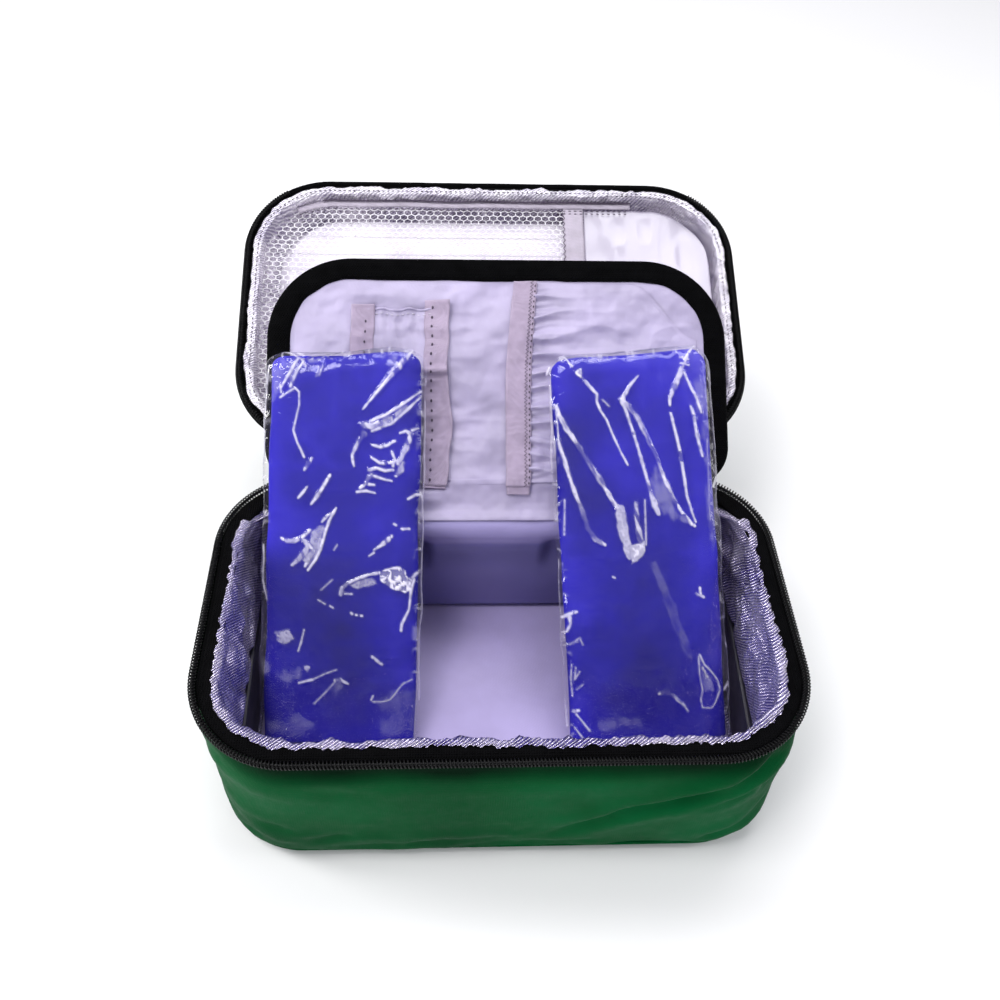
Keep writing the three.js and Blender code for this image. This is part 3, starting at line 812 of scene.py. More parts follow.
def rim_path(off, z, a_end, step=0.9, arc=26):
    """The rim line with an open rear: points, outward normals."""
    hx, hy, r = RIM_HX - off, RIM_HY - off, RIM_R - off
    cx, cy = RIM_HX - RIM_R, RIM_HY - RIM_R
    pts, nrm = [], []

    def arc_(x, y, a0, a1, n):
        a = np.radians(np.linspace(a0, a1, n))
        pts.append(np.stack([x + r * np.cos(a), y + r * np.sin(a)], -1))
        nrm.append(np.stack([np.cos(a), np.sin(a)], -1))

    def line_(p0, p1, nv):
        n = int(max(2, np.hypot(*(np.array(p1) - p0)) / step))
        t = np.linspace(0, 1, n + 1)[1:-1]
        pts.append(np.array(p0) + t[:, None] * (np.array(p1) - np.array(p0)))
        nrm.append(np.tile(nv, (len(t), 1)))

    arc_(cx, cy, a_end, 0, arc)
    line_((cx + r, cy), (cx + r, -cy), (1.0, 0.0))
    arc_(cx, -cy, 0, -90, arc)
    line_((cx, -cy - r), (-cx, -cy - r), (0.0, -1.0))
    arc_(-cx, -cy, -90, -180, arc)
    line_((-cx - r, -cy), (-cx - r, cy), (-1.0, 0.0))
    arc_(-cx, cy, 180, 180 - a_end, arc)
    P = np.concatenate(pts)
    N = np.concatenate(nrm)
    return np.concatenate([P, np.full((len(P), 1), z)], 1), np.concatenate([N, np.zeros((len(N), 1))], 1)


def coil_mesh(to_row, z, off, a_end=58.0, pitch=1.32, rw=1.2, rh=1.25, wire=0.34):
    """A zipper's nylon coil: a wire wound round the rim line, with a cord through it."""
    P, N = rim_path(off, z, a_end)
    s = along(P)
    turns = s[-1] / pitch
    k = 12
    n = int(turns * k)
    u = np.linspace(0, s[-1], n)
    p = np.stack([np.interp(u, s, P[:, j]) for j in range(3)], -1)
    nn = np.stack([np.interp(u, s, N[:, j]) for j in range(3)], -1)
    a = np.arange(n) * 2 * math.pi / k
    # a flattened loop, so that each turn reads as a tooth
    w = np.sign(np.cos(a)) * np.abs(np.cos(a)) ** 0.7 * rw
    h = np.sign(np.sin(a)) * np.abs(np.sin(a)) ** 0.7 * rh
    path = p + nn * w[:, None] + np.array([0, 0, 1.0]) * h[:, None]
    parts = [tube(path, wire, 5, up=nn)]
    core = P + np.array([0, 0, 0.0])
    parts.append(tube(core, 0.62, 6, up=N))
    V, Q, T = join(parts)
    return to_row(V), Q, T


def tape_ring(to_row, rows, name, mat, arc=16, nx=74, ny=32, rumple=0.0, seed=5):
    """A closed band round the rim whose section is the given rows."""
    P, N = tub_grid(rows, arc, nx, ny)
    if rumple:
        P = P + np.array([0, 0, 1.0]) * (rumple * fbm(P / 9.0, seed, 2))[..., None]
    nu, nv = P.shape[:2]
    q = grid_quads(nu, nv, True)
    last = np.stack([np.arange(nu) * nv + nv - 1, np.roll(np.arange(nu), -1) * nv + nv - 1, np.roll(np.arange(nu), -1) * nv, np.arange(nu) * nv], -1)
    return build(name, to_row(P.reshape(-1, 3)), np.concatenate([q, last]), (), mat)


def rim_rows(offs_z):
    return [[RIM_HX - d, RIM_HY - d, RIM_R - d, z] for d, z in offs_z]


def base_zipper():
    o = tape_ring(same, rim_rows([(9.9, 71.2), (3.1, 71.1), (2.95, 71.8), (3.1, 72.45), (4.2, 72.7), (6.4, 72.62), (8.6, 72.7), (9.7, 72.5), (10.0, 72.0)])[::1], "base_tape", TAPE, rumple=0.12)
    piece(o, "root", "zipper_tape", "base_zipper_tape")
    V, Q, T = coil_mesh(same, 72.4, 1.45)
    piece(build("base_coil", V, Q, T, COIL), "root", "zipper_coil", "base_zipper_coil")
    # the tape's outer leaf, turned down over the fabric and sewn to it
    rows = [[112.2, 66.2, 36.2, 69.0], [113.0, 67.0, 37.0, 68.7], [113.6, 67.6, 37.6, 69.2], [113.8, 67.8, 37.8, 70.3], [113.2, 67.2, 37.2, 70.9], [112.2, 66.2, 36.2, 70.8]]
    o = tape_ring(same, rows, "base_tape_outer", TAPE, rumple=0.15, seed=9)
    piece(o, "root", "zipper_tape")
    p, nn = outline(109.9, 63.9, 33.9, 18, 74, 32)
    z = np.full((len(p), 1), 72.72)
    st = stitches(np.concatenate([p, z], 1), np.array([0, 0, 1.0]), 1.9, 2.8, 0.17, 0.1)
    piece(build("base_tape_inner_stitching", *st, BLACK_THREAD), "root", "zipper_tape")


base_zipper()


def base_foil():
    rows = [
        [107.2, 61.9, 32.2, 72.88], [106.4, 60.8, 31.4, 73.10], [105.6, 59.7, 30.6, 73.05], [104.9, 58.9, 29.8, 72.5], [104.5, 58.5, 29.4, 71.0],
        [104.3, 58.7, 29.1, 69.4], [104.2, 61.0, 29.5, 59], [104.4, 63.0, 30, 44], [104.6, 64.0, 29.5, 24], [103.2, 62.5, 27, 11.5],
        [99, 58.5, 23.5, 6.9], [92, 52, 21, 6.15], [84, 44, 18, 6.12],
    ]
    R = catmull(rows, 120)
    P, N = tub_grid(R, 34, 170, 80)
    z = P[..., 2]
    rear = smooth01(0.3, 0.8, N[..., 1])
    # at the rear the lining stays low, behind the page's fold
    top = smooth01(68, 72, z)
    P[..., 1] -= rear * top * 2.6
    P[..., 2] -= rear * top * 3.3
    Q = P.copy()
    warp = 0.35 * fbm(Q / 15.0, 12, 2)[..., None]
    big = 2.9 * creased(Q / np.array([17.0, 17.0, 26.0]) + warp, 4, 1) + 2.6 * (0.5 - facets(Q / np.array([14.0, 14.0, 17.0]) + warp, 6))
    mid = 0.6 * creased(Q / 6.5 + warp, 9, 2)
    keep = smooth01(5.9, 14, z) * smooth01(73.05, 71.6, z) * (1 - 0.8 * rear)
    side = np.abs(N[..., 0]) * smooth01(41, 35, np.abs(P[..., 1] + 2))
    tray = smooth01(39, 36.5, z) * side
    move = np.clip(big + mid + 0.4, -0.9, 3.6) * keep * (1 - 0.9 * tray)
    # above the tray's side the lining bulges in over it
    shelf = smooth01(36.6, 39.5, z) * smooth01(66, 50, z) * side
    move = move + shelf * (3.2 + 0.8 * vnoise(Q / 12.0, 17))
    cap = 3.6 + 0.4 * shelf - 2.6 * smooth01(58, 66, z) * smooth01(0.2, 0.9, np.abs(N[..., 0]))
    move = np.minimum(move, cap)
    # outwards at the rear corners, clear of the page when it lies shut
    move = move - 0.8 * smooth01(67.5, 70.0, z) * smooth01(26, 38, P[..., 1]) * smooth01(0.85, 0.55, N[..., 1])
    P = P - N * move[..., None]
    # the cut edge on the tape is uneven and slightly torn
    outer = (np.arange(P.shape[1]) < 24)[None, :]
    lap = smooth01(72.2, 73.0, z) * outer * (1 - rear)
    rag = 0.9 * fbm(Q / 7.5, 40, 3) + 0.9 * creased(Q / 2.6, 41, 2) - 0.1
    P = P + N * (lap * np.clip(rag, -1.4, 1.7))[..., None]
    P[..., 2] += lap * np.clip(0.42 * creased(Q / 2.0, 44, 2) + 0.35 * creased(Q / 5.0, 45, 1), -0.12, 0.75)
    V, F = thick(P, 0.28, True)
    o = build("base_lining", V, F, (), FOIL)
    piece(o, "root", "foil_lining", "base_foil_liner")
    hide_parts("base_foam")


base_foil()


# -------------------------------------------------------------------- tray
def pad_slab(hx, hy, r, z0, z1, crown, name, mat, to_row=same, cx=0.0, cy=0.0, seed=3, wr=0.25, puff=None):
    """A stuffed pad: crowned faces whose edges pull in to a seam."""
    rings = np.concatenate([np.linspace(0.04, 0.8, 22), np.linspace(0.84, 0.985, 10), [1.0]])
    p, n = outline(hx, hy, r, 10, 44, 26)
    nu = len(p)
    top, bot = [], []
    mid = (z0 + z1) / 2
    for k in rings:
        q = p * k
        e = (1 - k ** 6)
        hz = (z1 - z0) / 2 * (0.25 + 0.75 * e ** 0.5) + crown * (1 - k ** 2)
        P3 = np.concatenate([q, np.zeros((nu, 1))], 1)
        w = wr * fbm(np.concatenate([q / 13.0, np.full((nu, 1), 0.3)], 1), seed, 3) * e
        top.append(np.concatenate([q, (mid + hz + w)[:, None] if hasattr(w, "__len__") else np.full((nu, 1), mid + hz)], 1))
        bot.append(np.concatenate([q, np.full((nu, 1), z0 if k < 0.97 else mid - (z1 - z0) / 2 * (0.25 + 0.75 * e ** 0.5))], 1))
    top, bot = np.stack(top, 1), np.stack(bot[:-1], 1)
    G = np.concatenate([top, bot[:, ::-1]], 1)
    G[..., 0] += cx
    G[..., 1] += cy
    nv = G.shape[1]
    q = grid_quads(nu, nv, True, flip=False)
    V = G.reshape(-1, 3)
    m = len(V)
    V = np.concatenate([V, G[:, 0].mean(0)[None], G[:, -1].mean(0)[None]])
    a = np.arange(nu)
    b = np.roll(a, -1)
    T = np.concatenate([np.stack([b * nv, a * nv, np.full(nu, m)], -1), np.stack([a * nv + nv - 1, b * nv + nv - 1, np.full(nu, m + 1)], -1)])
    return build(name, to_row(V), q[:, ::-1], T[:, ::-1], mat)


def tray():
    o = pad_slab(99.3, 57.8, 24, 6.35, 8.2, 0.25, "tray_floor", SATIN, cy=-1.5, wr=0.22)
    piece(o, "root", "lavender_satin", "tray_floor_pad")
    # rear wall: one fabric face running up and over the rolled edge
    prof = [(50.0, 10.0), (44.0, 10.0), (43.0, 11.2), (43.0, 20), (43.1, 34), (43.3, 48), (43.6, 53.5)]
    for k in range(0, 13):
        a = math.radians(205 - 215 * k / 12)
        prof.append((50.2 + 7.2 * math.cos(a), 60.5 + 7.2 * math.sin(a)))
    prof += [(54.0, 54.4), (51.5, 52.5), (50.3, 49), (50.0, 30)]
    prof = np.array(prof)
    # resample evenly
    pr = np.concatenate([prof, prof[:1]])
    s = along(pr)
    u = np.linspace(0, s[-1], 121)[:-1]
    sec = np.stack([np.interp(u, s, pr[:, 0]), np.interp(u, s, pr[:, 1])], -1)
    xs = np.concatenate([[-86, -85.7, -85], np.linspace(-84, 84, 113), [85, 85.7, 86]])
    G = np.zeros((len(xs), len(sec), 3))
    G[..., 0] = xs[:, None]
    ends = np.clip((86 - np.abs(xs)) / 2.0, 0, 1) ** 0.5
    c = sec.mean(0)
    for i in range(len(xs)):
        k = 0.9 + 0.1 * ends[i]
        G[i, :, 1] = 46.7 + (sec[:, 0] - 46.7) * k
        G[i, :, 2] = sec[:, 1] * 1.0
    fr = smooth01(47.5, 43.5, G[..., 1])
    G[..., 1] -= fr * 0.35 * fbm(G / 17.0, 60, 2) * smooth01(9, 20, G[..., 2])
    # two shallow hollows where the folded packs press into the pad when the case is shut
    hollow = np.maximum(smooth01(-26, -33, G[..., 0]), smooth01(18, 26, G[..., 0])) * np.exp(-(((G[..., 2] - 47.8) / 9.0) ** 2))
    G[..., 1] += fr * 4.6 * hollow
    # long soft dents in the roll, and the fabric drawn in under it
    top = smooth01(56, 63, G[..., 2])
    G[..., 2] += top * (0.28 * fbm(G / np.array([15.0, 8, 8]), 61, 2) - 0.25 * np.maximum(0, vnoise(G / np.array([9.0, 30, 30]), 66)))
    G[..., 1] += smooth01(3.2, 0.0, np.abs(G[..., 2] - 53.2)) * fr * 0.5
    nu, nv = G.shape[:2]
    i = np.arange(nu - 1)
    j = np.arange(nv)
    I, J = np.meshgrid(i, j, indexing="ij")
    L = (J + 1) % nv
    q = np.stack([I * nv + J, I * nv + L, (I + 1) * nv + L, (I + 1) * nv + J], -1).reshape(-1, 4)
    V = G.reshape(-1, 3)
    m = len(V)
    V = np.concatenate([V, G[0].mean(0)[None], G[-1].mean(0)[None]])
    T = np.concatenate([np.stack([np.full(nv, m), (j + 1) % nv, j], -1), np.stack([np.full(nv, m + 1), (nu - 1) * nv + j, (nu - 1) * nv + (j + 1) % nv], -1)])
    # tone: painted shade darkening the wall's face below the roll, with a painted lighter patch low in the middle
    face = smooth01(49.8, 48.2, V[:, 1]) * smooth01(58.0, 51.5, V[:, 2])
    tone = 1.0 - face * (0.92 - 0.36 * np.exp(-(((V[:, 0] + 3) / 26.0) ** 2)) * smooth01(52, 34, V[:, 2]))
    o = build("tray_wall", V, q, T, WALL_SATIN, attr={"tone": tone})
    piece(o, "root", "lavender_satin", "tray_rear_wall")
    for side, sx in (("left", -1), ("right", 1)):
        n1, n2 = 44, 34
        Y, Z = np.meshgrid(np.linspace(-36, 32, n1), np.linspace(9.6, 36, n2), indexing="ij")
        Z = 9.6 + (Z - 9.6) * (0.86 + 0.14 * smooth01(-38, 6, Y))
        X = np.full_like(Y, sx * 101.6)
        P = np.stack([X, Y, Z], -1)
        P[..., 0] += 0.35 * fbm(P / 12.0, 70 + sx, 2)
        V, F = thick(P, 2.2)
        # the side pads take the near-black grey satin: painted shade beside the packs
        o = build(f"tray_side_pad_{side}", V, F, (), GREY_SATIN)
        piece(o, "root", "grey_satin", f"tray_side_{side}")
    # the strip that carries the page's fold
    X, Z = np.meshgrid(np.linspace(-76, 76, 90), np.linspace(60.9, 71.8, 10), indexing="ij")
    P = np.stack([X, 58.35 + 0.08 * np.sin(X / 5.0), Z], -1)
    V, F = thick(P, 0.5)
    o = build("page_strip", V, F, (), SATIN)
    piece(o, "root", "lavender_satin", "page_fold_strip")


tray()


# --------------------------------------------------------------------- lid
LID_ROWS = [
    [98, 52, 26, 0], [106, 60.5, 31, 1.6], [109.5, 64.2, 35, 5], [111.5, 66.3, 37, 12], [112.3, 67.3, 37.5, LID_DEPTH - 3.3],
]


def lid():
    rows = catmull(LID_ROWS, 34)
    rows[:, 3] = np.maximum(rows[:, 3], 0)
    P, N = tub_grid(rows, 18, 74, 32)
    z = P[..., 2]
    h = 0.5 * fbm(P / 30.0, 103, 2) + 0.3 * creased(P / 17.0, 105, 2)
    P = P + N * (h * smooth01(0, 5, z) * smooth01(23, 17, z))[..., None]
    inner = P - N * 1.1
    inner[..., 2] = np.maximum(inner[..., 2], 1.1)
    G = np.concatenate([P, inner[:, ::-1]], 1)
    nu, nv = G.shape[:2]
    V, Q, T = [G.reshape(-1, 3)], [grid_quads(nu, nv, True)], []
    off = nu * nv
    for col, zz, flip in ((0, 0.0, True), (nv - 1, 1.1, False)):
        ring = G[:, col]
        prev = np.arange(nu) * nv + col
        for k in np.linspace(0.93, 0.08, 14):
            r = ring * np.array([k, k, 1.0])
            dent = 0.7 * fbm(np.concatenate([r[:, :2] / 30.0, np.full((nu, 1), 0.5)], 1), 110, 3) * smooth01(1.0, 0.8, k)
            r[:, 2] = zz + (dent - 0.3 * (1 - k))
            V.append(r)
            cur = off + np.arange(nu)
            f = np.stack([prev, np.roll(prev, -1), np.roll(cur, -1), cur], -1)
            Q.append(f[:, ::-1] if flip else f)
            prev = cur
            off += nu
        V.append(r.mean(0)[None])
        t = np.stack([prev, np.roll(prev, -1), np.full(nu, off)], -1)
        T.append(t[:, ::-1] if flip else t)
        off += 1
    o = build("lid_fabric", lid_to_row(np.concatenate(V)), np.concatenate(Q), np.concatenate(T), GREEN)
    piece(o, "lid", "green_nylon", "lid_outer_shell")
    # zipper
    D = LID_DEPTH
    o = tape_ring(lid_to_row, rim_rows([(6.9, D - 2.8), (3.1, D - 2.9), (2.95, D - 2.2), (3.1, D - 1.5), (3.8, D - 1.25), (4.8, D - 1.35), (5.8, D - 1.25), (6.7, D - 1.5), (7.0, D - 2.0)]), "lid_tape", TAPE, rumple=0.12, seed=6)
    piece(o, "lid", "zipper_tape", "lid_zipper_tape")
    V, Q, T = coil_mesh(lid_to_row, D - 1.55, 1.75)
    piece(build("lid_coil", V, Q, T, COIL), "lid", "zipper_coil", "lid_zipper_coil")
    rows = [[112.2, 67.3, 37.3, D - 8.6], [113.1, 68.1, 38.1, D - 8.8], [113.9, 68.6, 38.5, D - 6.5], [114.6, 68.7, 38.6, D - 4.0], [115.2, 69.2, 39.1, D - 2.4], [114.6, 68.6, 38.5, D - 2.1], [112.8, 67.0, 37.0, D - 3.2], [112.2, 66.6, 36.6, D - 6.0]]
    o = tape_ring(lid_to_row, rows, "lid_tape_outer", TAPE, rumple=0.12, seed=19)
    piece(o, "lid", "zipper_tape")
    # foil lining: over the tape's inner edge, down the wall, and across the panel
    prof = [
        [111.3, 65.3, 35.3, D - 1.25], [110.8, 64.8, 34.8, D - 0.75], [109.7, 63.7, 33.7, D - 0.8], [108.5, 62.5, 32.6, D - 0.8], [107.4, 61.5, 31.6, D - 1.4],
        [107.0, 61.2, 31.4, D - 4.0], [106.8, 61.2, 31.2, D - 8.0], [105.6, 60.0, 30.6, 12], [102.5, 57.2, 28, 7.4], [97, 52, 25, 5.9], [88, 44, 22, 5.7],
    ]
    R = catmull(prof, 84)
    P, N = tub_grid(R, 30, 150, 70)
    z = P[..., 2]
    h = 1.3 * (0.6 - facets(P / 9.0, 130)) + 0.6 * creased(P / 5.5, 131, 2) + 0.2 * creased(P / 2.6, 137, 1)
    keep = smooth01(5.5, 9.0, z) * smooth01(D - 1.0, D - 3.0, z)
    hingeside = smooth01(0.5, 0.9, -N[..., 1])
    P = P - N * (np.clip(h, -0.9, 1.2) * keep * (1 - 0.5 * hingeside))[..., None]
    lap = smooth01(D - 1.9, D - 1.1, z)
    outer = (np.arange(P.shape[1]) < 12)[None, :]
    P = P + N * (lap * outer * (0.7 * fbm(P / 6.0, 140, 3) + 0.25 * creased(P / 2.5, 141, 1) - 0.35))[..., None]
    P[..., 2] += lap * np.clip(0.65 * creased(P / 3.6, 142, 2) + 0.35 * creased(P / 1.8, 143, 1), -0.5, 0.6)
    V, F = thick(P, 0.3, True)
    V = lid_to_row(V)
    panel_p, _ = outline(100.5, 56.5, 28, 22, 110, 54)
    nu = len(panel_p)
    ks = np.concatenate([np.linspace(1.0, 0.86, 15), np.linspace(0.84, 0.05, 30)])
    G = np.stack([np.concatenate([panel_p * k, np.full((nu, 1), 7.6 + 5.2 * float(smooth01(1.0, 0.95, k)) + 2.2 * float(smooth01(1.0, 0.62, k)))], 1) for k in ks], 1)
    G[..., 2] += 0.4 * creased(G / 14.0, 150, 2) * smooth01(1.0, 0.95, ks)[None, :]
    V2, F2 = thick(G, 0.3, True)
    o = build("lid_lining", V, F, (), LID_FOIL)
    piece(o, "lid", "foil_lining", "lid_foil_liner")
    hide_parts("lid_foam")
    o = build("lid_lining_panel", lid_to_row(V2), F2, (), PANEL_FOIL)
    piece(o, "lid", "foil_lining")

    def sag(X, Y):
        """The pockets' fabric dips a little away from its sewn edges."""
        e = np.clip(np.minimum(106.5 - np.abs(X), 60 - np.abs(Y + 0.0)) / 25.0, 0, 1)
        return -1.3 * e * (2 - e) + 0.4 * vnoise(np.stack([X / 24.0, Y / 24.0, X * 0], -1), 160) * e

    # net pocket: a hexagonal knit
    x0, x1, y0, y1 = -106.2, 35.2, -59.0, 60.2
    a, wide = 1.62, 1.28
    dx, dy = a * math.sqrt(3) * wide, a * 1.5
    pts, segs, key = [], [], {}

    def vid(x, y):
        k = (round(x * 50), round(y * 50))
        if k not in key:
            key[k] = len(pts)
            pts.append((x, y))
        return key[k]

    rr = 29.5
    for j in range(int((y1 - y0) / dy) + 1):
        for i in range(int((x1 - x0) / dx) + 1):
            cx = x0 + i * dx + (dx / 2 if j % 2 else 0)
            cy = y0 + j * dy
            ex = x0 + rr - cx
            ey = abs(cy - 0.3) - (60.2 - rr)
            if cx > x1 or (ex > 0 and ey > 0 and math.hypot(ex, ey) > rr):
                continue
            hexv = [vid(cx + wide * a * math.cos(math.radians(60 * k + 30)), cy + a * math.sin(math.radians(60 * k + 30))) for k in range(6)]
            segs += [tuple(sorted((hexv[k], hexv[(k + 1) % 6]))) for k in range(6)]
    segs = np.array(sorted(set(segs)))
    pts = np.array(pts)
    H = 19.3 + sag(pts[:, 0], pts[:, 1])
    A, B = pts[segs[:, 0]], pts[segs[:, 1]]
    d = B - A
    d /= np.maximum(np.linalg.norm(d, axis=1, keepdims=True), 1e-9)
    nrm = np.stack([-d[:, 1], d[:, 0]], -1)
    w, t = 0.19, 0.12
    Vn = np.zeros((len(segs), 8, 3))
    for e, (Q0, Hs) in enumerate(((A, H[segs[:, 0]]), (B, H[segs[:, 1]]))):
        for c, (sw, sz) in enumerate(((-1, -1), (1, -1), (1, 1), (-1, 1))):
            Vn[:, e * 4 + c, :2] = Q0 + nrm * w * sw
            Vn[:, e * 4 + c, 2] = Hs + t * sz
    base = (np.arange(len(segs)) * 8)[:, None]
    fq = np.concatenate([base + np.array([[0, 1, 5, 4]]), base + np.array([[1, 2, 6, 5]]), base + np.array([[2, 3, 7, 6]]), base + np.array([[3, 0, 4, 7]]), base + np.array([[3, 2, 1, 0]]), base + np.array([[4, 5, 6, 7]])])
    o = build("lid_net", lid_to_row(Vn.reshape(-1, 3)), fq, (), NET, smooth=False)
    piece(o, "lid", "pocket_mesh", "lid_mesh_pocket")
    # tape between the pockets, and the smooth pocket beside it
    Y, X = np.meshgrid(np.linspace(-59, 57.6, 80), np.linspace(35.4, 45.0, 10), indexing="ij")
    P = np.stack([X, Y, 20.0 + sag(X, Y) + 0.12 * fbm(np.stack([X / 8, Y / 8, Y * 0], -1), 171, 2)], -1)
    V, F = thick(P, 0.8)
    o = build("lid_tape_between", lid_to_row(V), F[:, ::-1], (), PALE_TAPE)
    piece(o, "lid", "mauve_tape", "lid_pocket_tape")
    zy = -57 + 1.5 * np.arange(76)
    zx = 34.9 + 1.1 * (np.arange(76) % 2)
    v, q, t = tube(np.stack([zx, zy, 20.55 + sag(zx, zy)], -1), 0.2, 5)
    piece(build("lid_zigzag", lid_to_row(v), q, t, DARK_THREAD), "lid", "mauve_tape")
    Y, X = np.meshgrid(np.linspace(0, 1, 110), np.linspace(45.4, 104.6, 80), indexing="ij")
    cx = np.clip((X - (104.6 - 29)) / 29, 0, 1)
    lim = 29 * (1 - np.sqrt(1 - cx**2))
    Y2 = -59.3 + lim + Y * (57.4 + 59.3 - 2 * lim)
    wave = 0.7 * vnoise(np.stack([X / 22, Y2 / 40, Y * 0], -1), 181) + 0.45 * creased(np.stack([X / 12, Y2 / 30, Y * 0], -1), 185, 2)
    soft = np.clip(np.minimum(X - 45.4, 104.6 - X) / 10, 0, 1)
    P = np.stack([X, Y2, 19.3 + sag(X, Y2) + wave * soft], -1)
    V, F = thick(P, 0.25)
    o = build("lid_window", lid_to_row(V), F[:, ::-1], (), WINDOW)
    piece(o, "lid", "clear_film", "lid_clear_pocket")
    # hem along the pockets' top edge, its dark piping and its stitching
    X = np.linspace(-92, 68, 110)
    drop = -0.10 * np.clip(-X - 76, 0, 20) ** 1.35
    hem = np.stack([X, 58.9 + 0.35 * vnoise(np.stack([X / 20, X * 0, X * 0], -1), 190) + drop, 20.3 + 0 * X], -1)
    v, q, t = tube(hem, 1.7, 12, squash=0.42)
    o = build("lid_hem", lid_to_row(v), q, t, PALE_TAPE)
    piece(o, "lid", "lavender_satin", "lid_pocket_hem")
    line = hem + np.array([0, 0.9, 1.5])
    v, q, t = tube(line[8:], 0.36, 6)
    piece(build("lid_hem_cord", lid_to_row(v), q, t, DARK_THREAD), "lid", "lavender_satin")
    for k, (off, ln) in enumerate(((-2.6, 1.6), (-4.2, 1.3))):
        st = stitches(hem + np.array([0, off, -0.25 + 0.0 * k]), np.array([0, 0, 1.0]), ln, 2.7, 0.24, 0.15)
        piece(build(f"lid_hem_stitching_{k}", lid_to_row(st[0]), st[1], st[2], DARK_THREAD), "lid", "lavender_satin")
    # the lining's own sewn line, all round
    p, nn = outline(108.6, 62.6, 32.7, 24, 90, 44)
    st = stitches(np.concatenate([p, np.full((len(p), 1), D - 0.45)], 1), np.array([0, 0, 1.0]), 1.2, 2.3, 0.24, 0.3)
    piece(build("lid_lining_stitching", lid_to_row(st[0]), st[1], st[2], DARK_THREAD), "lid", "foil_lining")
    # tape edge stitched above the smooth pocket
    X = np.linspace(46, 88, 40)
    row = np.stack([X, 61.7 - 0.02 * np.clip(X - 70, 0, 30) ** 1.8, np.full(40, 25.1)], -1)
    st = stitches(row, np.array([0, -0.5, 0.86]), 1.2, 2.3, 0.26, 0.12)
    piece(build("lid_edge_stitching", lid_to_row(st[0]), st[1], st[2], DARK_THREAD), "lid", "foil_lining")


lid()


# ------------------------------------------------------- sewn lid hinge strip
def hinge_strip():
    """One fabric strip: up from the base, over the fold, and onto the lid."""
    n = 40
    y = np.array([70.6, 70.7, 70.7, 71.4, 73.6, 76.4, 79.2, 81.2, 82.6, 84.0])
    z = np.array([58.0, 64.0, 70.5, 74.2, 76.0, 76.3, 75.2, 72.6, 69.0, 64.5])
    s = along(np.stack([y, z], -1))
    u = np.linspace(0, s[-1], n)
    yy, zz = np.interp(u, s, y), np.interp(u, s, z)
    k = np.ones(5) / 5
    yy[2:-2] = np.convolve(yy, k, "valid")
    zz[2:-2] = np.convolve(zz, k, "valid")
    X = np.linspace(-55, 55, 90)
    P = np.stack([np.tile(X[:, None], (1, n)), np.tile(yy, (90, 1)), np.tile(zz, (90, 1))], -1)
    P[..., 1] += 0.15 * fbm(P / 9.0, 201, 2)
    V, F = thick(P, 0.9)
    o = build("hinge_strip", V, F, (), GREEN)
    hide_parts("hinge_strip_base", "hinge_strip_lid")
    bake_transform(o)


hinge_strip()


# -------------------------------------------------------------------- page
def page_shape(hw, u0, u1, r, q, nx=80, ny=60):
    """Maps a unit square onto the page's outline: rounded corners, straight sides."""
    S, Tt = np.meshgrid(np.linspace(-1, 1, nx), np.linspace(0, 1, ny), indexing="ij")
    X = S * hw
    U = u0 + Tt * (u1 - u0)
    up = np.clip((U - (u1 - r)) / r, 0, 1)
    lo = np.clip(((u0 + q) - U) / q, 0, 1)
    w = hw - r * (1 - np.sqrt(np.maximum(0, 1 - up**2))) - q * (1 - np.sqrt(np.maximum(0, 1 - lo**2)))
    return np.stack([S * w, U, np.zeros_like(U)], -1)


def page_edge(hw, u0, u1, r, q, n=150):
    """The binding's run: up the left side, over the top and down the right."""
    pts = []
    for a in np.linspace(-90, 0, 16):
        pts.append((-(hw - q) - q * math.cos(math.radians(a)), u0 + q + q * math.sin(math.radians(a))))
    pts += [(-hw, y) for y in np.linspace(u0 + q, u1 - r, 20)[1:-1]]
    for a in np.linspace(0, 90, 30):
        pts.append((-(hw - r) - r * math.cos(math.radians(a)), u1 - r + r * math.sin(math.radians(a))))
    pts += [(x, u1) for x in np.linspace(-(hw - r), hw - r, 46)[1:-1]]
    for a in np.linspace(90, 0, 30):
        pts.append((hw - r + r * math.cos(math.radians(a)), u1 - r + r * math.sin(math.radians(a))))
    pts += [(hw, y) for y in np.linspace(u1 - r, u0 + q, 20)[1:-1]]
    for a in np.linspace(0, -90, 16):
        pts.append((hw - q + q * math.cos(math.radians(a)), u0 + q + q * math.sin(math.radians(a))))
    P = np.array(pts)
    T = np.gradient(P, axis=0)
    T /= np.linalg.norm(T, axis=1, keepdims=True)
    return P, np.stack([-T[:, 1], T[:, 0]], -1)


def slack(X, U):
    """How far the page's fabric stands off its board."""
    r = PAGE_R - BIND_W
    qx, qy = np.abs(X) - (PAGE_HW - BIND_W - r), U - (PAGE_L - BIND_W - r)
    deep = r - np.hypot(np.maximum(qx, 0), np.maximum(qy, 0)) - np.minimum(np.maximum(qx, qy), 0)
    inside_ = smooth01(0, 12, deep)
    Q = np.stack([X, U, X * 0], -1)
    h = np.clip(1.15 + 1.25 * fbm(Q / np.array([25.0, 18.0, 9.0]), 210, 3) + 0.8 * creased(Q / np.array([28.0, 13.0, 9.0]), 212, 2), 0.0, 3.0)
    h += 0.7 * np.exp(-(((X + 4.5) / 12.0) ** 2)) * smooth01(0, 30, U) * smooth01(100, 60, U)
    return inside_ * h


